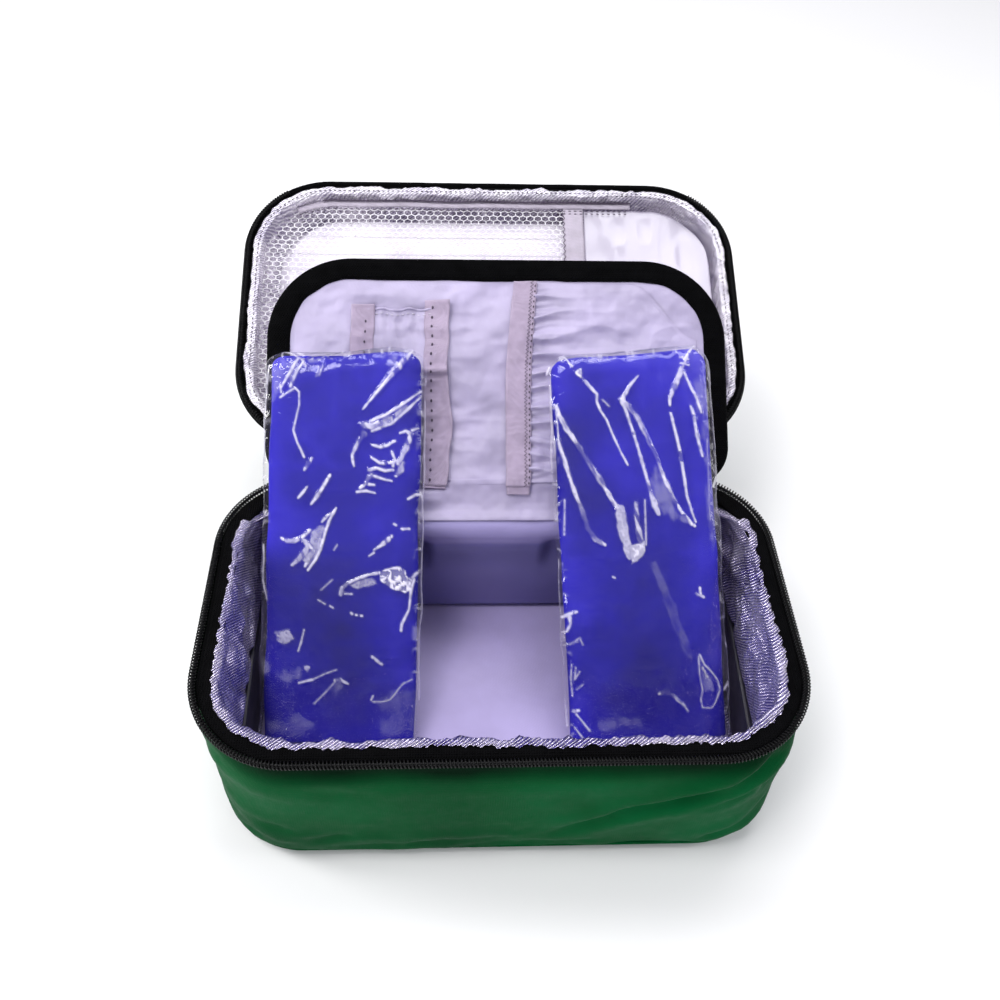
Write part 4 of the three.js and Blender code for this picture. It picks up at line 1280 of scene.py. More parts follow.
def page():
    U0 = 2.2
    # cover fabric: satin, slack between the tapes
    P = page_shape(PAGE_HW - 1.6, U0 + 0.4, PAGE_L - 1.6, PAGE_R - 1.6, PAGE_LOW_R - 1.3, 190, 120)
    P[..., 2] = 1.45 + slack(P[..., 0], P[..., 1])
    V, F = thick(P, 0.4)
    o = build("page_cover", page_to_row(V), F, (), PAGE_SATIN)
    piece(o, "page", "lavender_satin", "page_front_cover")
    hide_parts("page_board")
    P = page_shape(PAGE_HW - 1.6, U0 + 0.4, PAGE_L - 1.6, PAGE_R - 1.6, PAGE_LOW_R - 1.3, 90, 60)
    P[..., 2] = -1.3 - 0.25 * np.abs(fbm(P / 20.0, 220, 2)) * smooth01(0, 10, PAGE_HW - 10 - np.abs(P[..., 0]))
    V, F = thick(P, 0.4)
    o = build("page_back", page_to_row(V), F, (), PAGE_SATIN)
    piece(o, "page", "lavender_satin", "page_rear_cover")
    # stiffening board between the covers, seen only at the fold edge
    P = page_shape(PAGE_HW - 1.9, U0 + 0.6, PAGE_L - 1.9, PAGE_R - 1.9, PAGE_LOW_R - 1.5, 60, 40)
    V, F = thick(P, 1.2)
    piece(build("page_stiffener", page_to_row(V), F, (), FOAM), "page", "stiffener")
    # binding: grosgrain folded over the edge, front and back leaf in one closed section
    E, N2 = page_edge(PAGE_HW, U0, PAGE_L, PAGE_R, PAGE_LOW_R)
    C = np.array(((BIND_W, 1.95), (BIND_W - 0.4, 2.3), (6.5, 2.42), (3.0, 2.35), (1.0, 2.1), (0.15, 1.2), (0.0, 0.0), (0.15, -1.2), (1.0, -2.0), (3.0, -2.15), (7.0, -2.15), (BIND_W - 0.4, -2.05), (BIND_W, -1.8), (BIND_W - 0.6, -1.62), (2.2, -1.75), (1.4, -1.0), (1.4, 1.0), (2.2, 1.8), (BIND_W - 0.6, 1.85)))
    K = len(E)
    G = np.zeros((K, len(C), 3))
    inward = -N2
    wob = 0.35 * vnoise(np.stack([along(E) / 9.0, np.zeros(K), np.zeros(K)], -1), 230)
    for k, (d, z) in enumerate(C):
        dd = d + (wob if d > 6 else 0)
        G[:, k, 0] = E[:, 0] + inward[:, 0] * dd
        G[:, k, 1] = E[:, 1] + inward[:, 1] * dd
        G[:, k, 2] = z + (0.10 * vnoise(np.stack([along(E) / 5.0, np.full(K, d / 3.0), np.zeros(K)], -1), 231) if 1.5 < d and abs(z) > 2.0 else 0)
    nv = len(C)
    i = np.arange(K - 1)
    j = np.arange(nv)
    I, J = np.meshgrid(i, j, indexing="ij")
    L = (J + 1) % nv
    q = np.stack([I * nv + J, I * nv + L, (I + 1) * nv + L, (I + 1) * nv + J], -1).reshape(-1, 4)
    V = G.reshape(-1, 3)
    m = len(V)
    V = np.concatenate([V, G[0].mean(0)[None], G[-1].mean(0)[None]])
    T = np.concatenate([np.stack([np.full(nv, m), (j + 1) % nv, j], -1), np.stack([np.full(nv, m + 1), (K - 1) * nv + j, (K - 1) * nv + (j + 1) % nv], -1)])
    o = build("page_binding_tape", page_to_row(V), q, T, BINDING)
    fix_normals(o)
    piece(o, "page", "binding", "page_binding")
    row = np.stack([E[:, 0] + inward[:, 0] * 8.4, E[:, 1] + inward[:, 1] * 8.4, np.full(K, 2.45)], -1)
    st = stitches(row, np.array([0, 0, 1.0]), 1.9, 2.9, 0.17, 0.1)
    piece(build("page_binding_stitching", page_to_row(st[0]), st[1], st[2], BLACK_THREAD), "page", "binding")

    px = -PAGE_X
    # left pocket: a small flat pocket with a gathered mouth
    S, Tt = np.meshgrid(np.linspace(0, 1, 100), np.linspace(0, 1, 100), indexing="ij")
    X = px - 62 + 42.5 * S
    mouth = 79.6 - 0.9 * np.sin(S * math.pi) + 0.45 * np.sin(S * 23.0 + 0.6) * np.sin(S * math.pi)
    U = 4 + (mouth - 4) * Tt
    gather = np.exp(-(mouth - U) / 7.0) * np.sin(S * math.pi)
    Z = 2.0 + slack(X, U) + 0.35 * np.sin(S * math.pi) + gather * (0.5 + 0.45 * np.cos(X * 2 * math.pi / 6.3 + 1.5 * vnoise(np.stack([X / 9, U / 30, X * 0], -1), 239)))
    Z += 0.55 * creased(np.stack([X / 11 + U / 40, U / 17, X * 0], -1), 240, 2) * np.sin(S * math.pi)
    V, F = thick(np.stack([X, U, Z], -1), 0.35)
    o = build("page_pocket_small", page_to_row(V), F, (), PAGE_SATIN)
    piece(o, "page", "lavender_satin", "page_left_pocket")
    hemp = np.stack([X[:, -1], U[:, -1] - 0.2, Z[:, -1] + 0.05], -1)
    v, q, t = tube(hemp, 0.6, 8)
    piece(build("page_pocket_small_hem", page_to_row(v), q, t, PAGE_SATIN), "page", "lavender_satin")
    st = stitches(hemp + np.array([0, -2.2, 0.25]), np.array([0, 0, 1.0]), 1.4, 2.4, 0.18, 0.12)
    piece(build("page_pocket_small_hem_stitching", page_to_row(st[0]), st[1], st[2], PALE_THREAD), "page", "lavender_satin")

    def strip(name, left, right, lift, nodes, seed, curl=0.0, n=110, kink=None):
        """A sewn tape between two side lines given as points (x, u)."""
        lft, rgt = np.array(left, float), np.array(right, float)
        t = np.linspace(0, 1, n)
        sl, sr = along(lft) / along(lft)[-1], along(rgt) / along(rgt)[-1]
        A = np.stack([np.interp(t, sl, lft[:, k]) for k in range(2)], -1)
        B = np.stack([np.interp(t, sr, rgt[:, k]) for k in range(2)], -1)
        for E_ in (A, B):
            E_[:, 0] += 0.3 * vnoise(np.stack([E_[:, 1] / 8.0, t * 0, t * 0], -1), seed + 3)
        w = np.linspace(0, 1, 14)
        G = A[:, None] * (1 - w)[None, :, None] + B[:, None] * w[None, :, None]
        Z = lift + slack(G[..., 0], G[..., 1]) + 0.25 * fbm(np.concatenate([G / 5.0, np.zeros(G.shape[:2] + (1,))], -1), seed, 2)
        Z = Z + curl * (w[None, :] ** 2)
        if kink is not None:
            Z = Z + 1.3 * np.exp(-(((G[..., 1] - kink) / 1.0) ** 2)) - 0.7 * np.exp(-(((G[..., 1] - kink + 2.2) / 1.0) ** 2))
        V, F = thick(np.concatenate([G, Z[..., None]], -1), 0.7)
        o = build(name, page_to_row(V), F, (), MAUVE)
        fix_normals(o)
        piece(o, "page", "mauve_tape", *nodes)
        return G, Z

    def sewn(name, G, Z, col, length, pitch, r, lo=-9, hi=999, mat=DARK_THREAD):
        m = (G[:, col, 1] > lo) & (G[:, col, 1] < hi)
        st = stitches(np.concatenate([G[m, col], (Z[m, col] + 0.42)[:, None]], 1), np.array([0, 0, 1.0]), length, pitch, r, 0.12)
        piece(build(name, page_to_row(st[0]), st[1], st[2], mat), "page", "mauve_tape")

    G, Z = strip("small_pocket_tape_outer", [(px - 62, 4), (px - 62, 80.6)], [(px - 52, 4), (px - 52, 80.9)], 2.75, ["left_pocket_outer_tape"], 250)
    sewn("small_pocket_stitches_outer", G, Z, 8, 1.2, 4.6, 0.42, 25, 76)
    G, Z = strip("small_pocket_tape_inner", [(px - 31.5, 2), (px - 30.6, 45), (px - 30.4, 82.6)], [(px - 20.8, 2), (px - 18.4, 30), (px - 20.6, 50), (px - 19.6, 82.6)], 2.8, ["left_pocket_inner_tape"], 251, curl=1.5, kink=51.0)
    sewn("small_pocket_stitches", G, Z, 4, 1.3, 4.3, 0.5)
    G, Z = strip("centre_tape", [(px + 4.0, 1.5), (px + 4.4, 50), (px + 8.3, 91.6)], [(px + 14.6, 1.5), (px + 15.6, 50), (px + 18.4, 91.6)], 3.0, ["page_centre_tape"], 252, curl=0.15)
    sewn("centre_tape_stitching", G, Z, 12, 1.0, 2.5, 0.34)
    zz = G[:, 10].copy()
    zz[:, 0] += np.where(np.arange(len(zz)) % 2, 0.8, -0.4)
    v, q, t = tube(np.concatenate([zz, (Z[:, 10] + 0.42)[:, None]], 1), 0.17, 5)
    piece(build("centre_tape_zigzag", page_to_row(v), q, t, DARK_THREAD), "page", "mauve_tape")

    # right pocket: gathered along the tape, so folds fan out from it
    S, Tt = np.meshgrid(np.linspace(0, 1, 240), np.linspace(0, 1, 260), indexing="ij")
    x_tape = px + 13.6 + 3.6 * Tt
    X = x_tape + (px + 88 - x_tape) * S
    top = 91.3 - 1.2 * S - 24.0 * smooth01(0.60, 1.0, S)
    U = 3.2 + (top - 3.2) * Tt
    near = np.exp(-S / 0.10)
    far_ = np.exp(-S / 0.50) * smooth01(0.0, 0.06, S)
    folds = np.zeros_like(U)
    for u0, amp, wdt, run in ((8, 0.9, 1.6, -2), (15, 1.1, 1.5, -3), (22, 1.3, 1.8, -4), (30, 0.9, 1.4, -3), (36.5, 1.3, 1.7, -2), (44, 1.0, 1.4, 1), (50, 1.4, 1.9, 2), (57.5, 1.1, 1.6, 6), (66, 1.6, 2.0, 13), (75, 0.8, 1.6, 9), (84, 0.7, 1.8, 5)):
        c = u0 + run * S + 1.2 * np.sin(S * 9 + u0)
        wd = wdt * (0.55 + 6.0 * S)
        folds += amp * np.exp(-np.abs((U - c) / wd) ** 1.4)
    ripple = 0.35 * np.cos(U * 2 * math.pi / 3.4 + 2.5 * vnoise(np.stack([X / 12, U / 9, X * 0], -1), 266))
    Z = 2.15 + slack(X, U) * 0.8 + near * (folds * 2.2 + ripple) + far_ * 1.7 * folds + 0.30
    Z += (1 - near) * 0.45 * fbm(np.stack([X / 24, U / 13, X * 0], -1), 260, 3)
    Z = np.minimum(Z, 5.8)
    rim_ = smooth01(0, 0.04, 1 - Tt) * smooth01(1.0, 0.96, S)
    Z = 2.0 + slack(X, U) + (Z - 2.0 - slack(X, U)) * (0.25 + 0.75 * rim_)
    V, F = thick(np.stack([X, U, Z], -1), 0.3)
    o = build("page_pocket_large", page_to_row(V), F, (), PAGE_SATIN)
    piece(o, "page", "lavender_satin", "page_right_pocket")


def page_skirt():
    """The page's fabric carries on below its board and droops onto the rear wall's roll."""
    a = math.radians(PAGE_TILT)

    def on_page(u, n):
        return (PAGE_Y + u * math.cos(a) - n * math.sin(a), PAGE_Z + u * math.sin(a) + n * math.cos(a))

    X = np.linspace(-90, 92, 240)
    line = np.stack([X / 17.0, X * 0, X * 0], -1)
    wave = vnoise(line, 280) + 0.35 * vnoise(line * 2.7, 281)
    crest = np.exp(-(((X + 34) / 16.0) ** 2))
    rows = []
    for x, w, c in zip(X, wave, crest):
        n5, n3 = (float(slack(np.array([x - PAGE_X]), np.array([v]))[0]) for v in (5.0, 2.6))
        rows.append([
            on_page(5.0, 1.72 + n5), on_page(3.4, 1.75 + n3), on_page(1.8, 1.5 + 0.8 * n3),
            (56.2 - 0.5 * w - 0.8 * c, 74.9 + 0.4 * w + 0.5 * c), (54.4 - 0.8 * w - 1.2 * c, 72.8 + 0.4 * w + 0.4 * c), (52.6 - 0.7 * w - 0.6 * c, 70.6 + 0.3 * w),
            (50.6 - 0.3 * w, 69.0 + 0.15 * w), (48.6, 68.4), (46.9, 67.9), (46.4, 67.2),
        ])
    rows = np.array(rows)
    s = along(rows[len(rows) // 2])
    n = 48
    u = np.linspace(0, s[-1], n)
    P = np.zeros((len(X), n, 3))
    k = np.ones(5) / 5
    for i in range(len(X)):
        si = along(rows[i])
        v = np.linspace(0, si[-1], n)
        yy, zz = np.interp(v, si, rows[i, :, 0]), np.interp(v, si, rows[i, :, 1])
        yy[2:-2], zz[2:-2] = np.convolve(yy, k, "valid"), np.convolve(zz, k, "valid")
        P[i] = np.stack([np.full(n, X[i]), yy, zz], -1)
    V, F = thick(P, 0.25)
    o = build("page_fold_fabric", V, F, (), PAGE_SATIN)
    fix_normals(o)
    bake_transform(o)
    for name, x0, x1, k in (("centre_tape_end", 4.0, 14.5, 18), ("inner_tape_end", -31.4, -21.0, 13)):
        cols = np.where((X >= x0) & (X <= x1))[0]
        G = P[cols[0]:cols[-1] + 1, 3:k].copy()
        N = grid_normals(P)[cols[0]:cols[-1] + 1, 3:k]
        N = N * np.sign(N[..., 2:3].mean())
        V, F = thick(G + N * 1.15, 0.7)
        o = build(name, V, F, (), MAUVE)
        fix_normals(o)
        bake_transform(o)


def fix_normals(o):
    import bmesh
    bm = bmesh.new()
    bm.from_mesh(o.data)
    bmesh.ops.recalc_face_normals(bm, faces=bm.faces)
    bm.to_mesh(o.data)
    bm.free()


page()
page_skirt()


# --------------------------------------------------------------- gel packs
def section(half_w, half_t, pw, pt, n_top, n_bot):
    """A flattened loop, sampled evenly along its length: unit (across, up) pairs, top face first."""
    out = []
    flat = np.linspace(-0.999, 0.999, 3000)
    turn = np.arccos(np.sign(flat) * np.abs(flat) ** (1 / pw))
    for lo, hi, n in ((0, math.pi, n_top), (math.pi, 2 * math.pi, n_bot)):
        a = np.unique(np.concatenate([np.linspace(lo, hi, 4001), turn + lo if lo == 0 else 2 * math.pi - turn]))
        a = a[(a >= lo) & (a <= hi)]

        def unit(v):
            c, s = np.cos(v), np.sin(v)
            c = np.where(np.abs(c) < 1e-12, 0.0, c)
            return np.stack([np.sign(c) * np.abs(c) ** pw, np.sign(s) * np.abs(s) ** pt], -1)

        P = unit(a)
        L = along(P * np.array([half_w, half_t]))
        at = np.linspace(0, L[-1], n + 1)[:-1]
        out.append(np.stack([np.interp(at, L, P[:, 0]), np.interp(at, L, P[:, 1])], -1))
    return np.concatenate(out)


def loop_mesh(G):
    """Closes a tube of cross-sections G[around, along] with a fan at each end."""
    nu, nv = G.shape[:2]
    V = G.reshape(-1, 3)
    m = len(V)
    V = np.concatenate([V, G[:, 0].mean(0)[None], G[:, -1].mean(0)[None]])
    i = np.arange(nu)
    k = np.roll(i, -1)
    T = np.concatenate([np.stack([k * nv, i * nv, np.full(nu, m)], -1), np.stack([i * nv + nv - 1, k * nv + nv - 1, np.full(nu, m + 1)], -1)])
    return V, grid_quads(nu, nv, True), T


# Where each pack's far end really stops: (across, along).
FAR_END = {
    "left": [(-33, 157.0), (-28.5, 159.2), (-22.4, 158.7), (-18.4, 156.6), (-10.3, 158.3), (-2.3, 159.6), (5.8, 160.8), (13.9, 161.6), (22.1, 162.2), (28.2, 161.9), (33, 158.5)],
    "right": [(-34.5, 157.5), (-30.9, 160.8), (-25.1, 161.6), (-12.6, 161.4), (4.1, 161.8), (20.9, 162.6), (29.3, 163.2), (34.5, 158.5)],
}


def inside(X, Y, poly):
    """Which points lie in a polygon, and how far each is from its outline."""
    P = np.array(poly, float)
    hit = np.zeros(X.shape, bool)
    best = np.full(X.shape, 99.0)
    for k in range(len(P)):
        a, b = P[k], P[(k + 1) % len(P)]
        up = (a[1] > Y) != (b[1] > Y)
        xc = (b[0] - a[0]) * (Y - a[1]) / (b[1] - a[1] + 1e-12) + a[0]
        hit ^= up & (X < xc)
        d = b - a
        t = np.clip(((X - a[0]) * d[0] + (Y - a[1]) * d[1]) / (d @ d), 0, 1)
        best = np.minimum(best, np.hypot(X - a[0] - t * d[0], Y - a[1] - t * d[1]))
    return hit, best


def pack_mesh(side):
    d = PACKS[side]
    f = pack_to_row(side)
    hw = d["width"] / 2
    seed = 300 if side == "left" else 400
    far = np.array(FAR_END[side])
    mx, mf = (7.0, 9.0)

    # --- pouch: filled film, a little thicker low down where the gel has settled
    sec = section(hw, PACK_T / 2, 0.42, 0.72, 84, 50)
    nu, nv = len(sec), 230
    u01 = np.linspace(0, 1, nv)
    margin = 2.0 if side == "left" else 1.8
    ph = hw - margin
    x_end = np.interp(sec[:, 0] * ph, far[:, 0], far[:, 1]) - 1.1
    U = -1.2 + (x_end[:, None] + 1.2) * u01[None, :]
    end = np.minimum(U + 1.2, x_end[:, None] - U)
    low = U < 40
    e = np.clip(end / np.where(low, 1.6, 8.0), 0, 1)
    body = np.sqrt(e * (2 - e))
    t = 0.9 + (PACK_T - 2.4) * body
    q = np.clip(end / np.where(low, 1.5, 4.0), 0, 1)
    inset = np.where(low, 0.9, 2.6) * (1 - np.sqrt(q * (2 - q)))
    wig = 0.5 * vnoise(np.stack([U / 23.0, np.sign(sec[:, 0])[:, None] + 0 * U, U * 0], -1), seed)
    G = np.zeros((nu, nv, 3))
    G[..., 0] = sec[:, 0][:, None] * (ph - inset) + np.sign(sec[:, 0])[:, None] * np.abs(sec[:, 0])[:, None] ** 4 * wig
    G[..., 1] = U
    G[..., 2] = -PACK_T / 2 + sec[:, 1][:, None] * (t / 2)
    topside = np.clip(sec[:, 1], 0, 1)[:, None] ** 0.5
    Q = G * np.array([1, 1, 0.0])
    lump = 0.55 * fbm(Q / 27.0, seed + 1, 2) + 0.22 * creased(Q / np.array([11.0, 19.0, 5.0]), seed + 2, 2)
    G[..., 2] += topside * np.minimum(lump - 0.55, 0.15) * body
    # tone: random variation, plus painted highlights, lighter violet towards the far end and at the sides, and darker
    # towards the near end
    tone = 0.42 + 0.16 * fbm(Q / 30.0, seed + 5, 2) + 0.06 * creased(Q / 9.0, seed + 6, 2)
    X, Y = G[..., 0], G[..., 1]
    tone += 0.20 * smooth01(118, 162, Y) - 0.10 * smooth01(60, 10, Y)
    if side == "left":
        tone += 0.35 * smooth01(-12, -31, X) * smooth01(120, 155, Y) + 0.10 * smooth01(-22, -32, X)
    else:
        tone += 0.28 * smooth01(14, 33, X) * smooth01(40, 150, Y) + 0.12 * smooth01(-20, -33, X)
    G[..., 2] *= 1 - 0.40 * np.exp(-(((Y - PACK_FOLD) / 10.0) ** 2))
    V, q4, T = loop_mesh(G)
    o = build(f"gel_pouch_{side}", f(V), q4, T, BLUE, attr={"tone": np.concatenate([tone.ravel(), [0.4, 0.4]])})
    fix_normals(o)
    finish_pack(o, side, "blue_gel", f"gel_pack_{side}_lower", f"gel_pack_{side}_upper")

    # --- sleeve: crinkled clear film round the pouch
    sec = section(hw, PACK_T / 2, 0.3, 0.6, 176, 60)
    nu, nv = len(sec), 350
    u01 = np.linspace(0, 1, nv)
    lip = 0.5 * vnoise(np.stack([sec[:, 0] * hw / 4.0, sec[:, 0] * 0, sec[:, 0] * 0], -1), seed + 8)
    x_end = np.interp(sec[:, 0] * hw, far[:, 0], far[:, 1]) + 0.6 + lip
    x_sta = -2.2 + 0.3 * np.abs(lip)
    U = x_sta[:, None] + (x_end - x_sta)[:, None] * u01[None, :]
    end = np.minimum(U - x_sta[:, None], x_end[:, None] - U)
    e = np.clip(end / np.where(U < 40, 1.5, 5.0), 0, 1)
    inset = np.where(U < 40, 0.8, 3.0) * (1 - np.sqrt(e * (2 - e)))
    e2 = np.clip(end / np.where(U < 40, 1.8, 8.5), 0, 1)
    body = np.sqrt(e2 * (2 - e2))
    t = 0.7 + (PACK_T - 0.7) * body
    G = np.zeros((nu, nv, 3))
    G[..., 0] = sec[:, 0][:, None] * (hw - inset)
    G[..., 1] = U
    G[..., 2] = -PACK_T / 2 + sec[:, 1][:, None] * (t / 2)
    up = (sec[:, 1] > 0)[:, None]
    top = (smooth01(0.1, 0.6, sec[:, 1]))[:, None]
    X, Y = G[..., 0], G[..., 1]
    Q = np.stack([X, Y, np.where(up, 0.0, 9.0) + 0 * X], -1)
    warp = fbm(Q / 21.0, seed + 25, 2)[..., None] * 0.5
    stretch = np.array([9.0, 30.0, 5.0]) if side == "right" else np.array([15.0, 22.0, 5.0])
    h = 0.12 * creased(Q / stretch + warp, seed + 20, 2) + 0.05 * creased(Q / 8.0 + warp, seed + 21, 2)
    # painted highlight: whitish film colour along the creases and crumples, where the lamps glint
    painted_highlight = np.zeros_like(X)
    speck = vnoise(np.stack([X / 1.1, Y / 1.1, X * 0], -1), seed + 33)
    rag = vnoise(np.stack([X / 2.4, Y / 2.4, X * 0], -1), seed + 30)
    for highlight_level, height, pts in FOLDS_AND_HIGHLIGHTS[side]:
        P0 = np.array(pts, float)
        lo, hi = P0.min(0) - 5, P0.max(0) + 5
        m = (X > lo[0]) & (X < hi[0]) & (Y > lo[1]) & (Y < hi[1]) & up
        if not m.any():
            continue
        x, y = X[m], Y[m]
        best, wid = np.full(x.shape, 99.0), np.ones(x.shape)
        for k in range(len(P0) - 1):
            a, b = P0[k], P0[k + 1]
            dd = b[:2] - a[:2]
            tt = np.clip(((x - a[0]) * dd[0] + (y - a[1]) * dd[1]) / (dd @ dd + 1e-9), 0, 1)
            dist = np.hypot(x - a[0] - tt * dd[0], y - a[1] - tt * dd[1])
            w = a[2] + (b[2] - a[2]) * tt
            near = dist - w < best - wid
            best, wid = np.where(near, dist, best), np.where(near, w, wid)
        wid = np.maximum(wid * (0.9 + 0.30 * rag[m]), 0.26)
        cover = smooth01(-0.45, 0.45, wid - best)
        edge = np.where(wid > 0.75, 0.80 + 0.20 * smooth01(0.25, 0.8, best / wid), 1.0)
        streak = vnoise(np.stack([(x + 0.4 * y) / 1.5, (y - 0.4 * x) / 6.0, x * 0], -1), seed + 34)
        core = np.clip(1 - (best / (wid * 1.05)) ** 2, 0, 1)
        fill = np.clip(0.62 + 0.75 * streak, 0.12, 1.0) * (0.45 + 0.55 * core)
        painted_highlight[m] = np.maximum(painted_highlight[m], highlight_level * cover * edge * np.where(wid > 0.6, fill, 0.9) * np.clip(0.92 + 0.3 * speck[m], 0, 1))
        h[m] += height * 0.65 * np.exp(-((best / (wid * 1.3)) ** 2))
    for highlight_level, broken, pts in CRUMPLES_AND_HIGHLIGHTS[side]:
        hit, dist = inside(X, Y, pts)
        hit &= up
        rough_ = creased(np.stack([X / 2.1, Y / 2.1, X * 0], -1), seed + 50, 2)
        if highlight_level < 0.3:
            # a faint painted highlight with a soft, broken border
            cloud = fbm(np.stack([X / 4.0, Y / 6.0, X * 0], -1), seed + 52, 3)
            v = highlight_level * 0.8 * smooth01(0.0, 3.2, dist + 1.4 * cloud) * np.clip(0.7 + 0.6 * cloud, 0, 1)
        else:
            v = highlight_level * smooth01(0.0, 0.9, dist + 0.5 * rag) * np.clip(1 - broken * 0.8 * smooth01(0.35, -0.15, rough_), 0, 1)
        painted_highlight = np.where(hit, np.maximum(painted_highlight, v), painted_highlight)
        h = h + np.where(hit, np.clip(dist, 0, 1.5) * 0.3 * broken * (rough_ + 0.2), 0)
    side_m = smooth01(hw - 4.5, hw - 1.2, np.abs(X))
    ripple = creased(np.stack([Y / 6.5, X / 6.0, np.where(up, 0.0, 5.0) + 0 * X], -1), seed + 40, 2)
    h = h + side_m * 0.55 * (ripple - 0.1)
    # painted highlight on the ripples along the film's sides
    painted_highlight = np.maximum(painted_highlight, np.where(up, side_m * 0.30 * smooth01(0.30, 0.75, ripple), 0))
    lip_m = smooth01(5.0, 1.5, x_end[:, None] - Y)
    rip2 = creased(np.stack([X / 4.0, Y / 5.0, X * 0], -1), seed + 44, 2)
    h = h + lip_m * 0.5 * rip2
    # painted highlight on the ripples at the film's end lip
    painted_highlight = np.maximum(painted_highlight, np.where(up, lip_m * 0.35 * smooth01(0.2, 0.7, rip2), 0))
    G[..., 2] += np.where(up, h, -0.25 * h) * body * np.abs(sec[:, 1])[:, None] ** 0.4
    G[..., 2] = np.where(up, np.minimum(G[..., 2], 1.4), np.maximum(G[..., 2], -PACK_T - 0.2))
    G[..., 0] += np.sign(X) * side_m * 0.5 * vnoise(np.stack([Y / 11.0, np.sign(X), X * 0], -1), seed + 41)
    G[..., 2] *= np.where(G[..., 2] < 0, 1 - 0.40 * np.exp(-(((Y - PACK_FOLD) / 10.0) ** 2)), 1.0)
    V, q4, T = loop_mesh(G)
    o = build(f"clear_sleeve_{side}", f(V), q4, T, SLEEVE, attr={"painted_highlight": np.concatenate([painted_highlight.ravel(), [0, 0]])})
    fix_normals(o)
    finish_pack(o, side, "clear_sleeve", f"sleeve_{side}_lower", f"sleeve_{side}_upper")


def finish_pack(o, side, slot, *nodes):
    f = pack_to_row(side)
    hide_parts(*nodes)
    a = f(np.array([0, PACK_FOLD - 13.0, 0])) * MM
    b = f(np.array([0, PACK_FOLD + 13.0, 0])) * MM
    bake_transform(o)
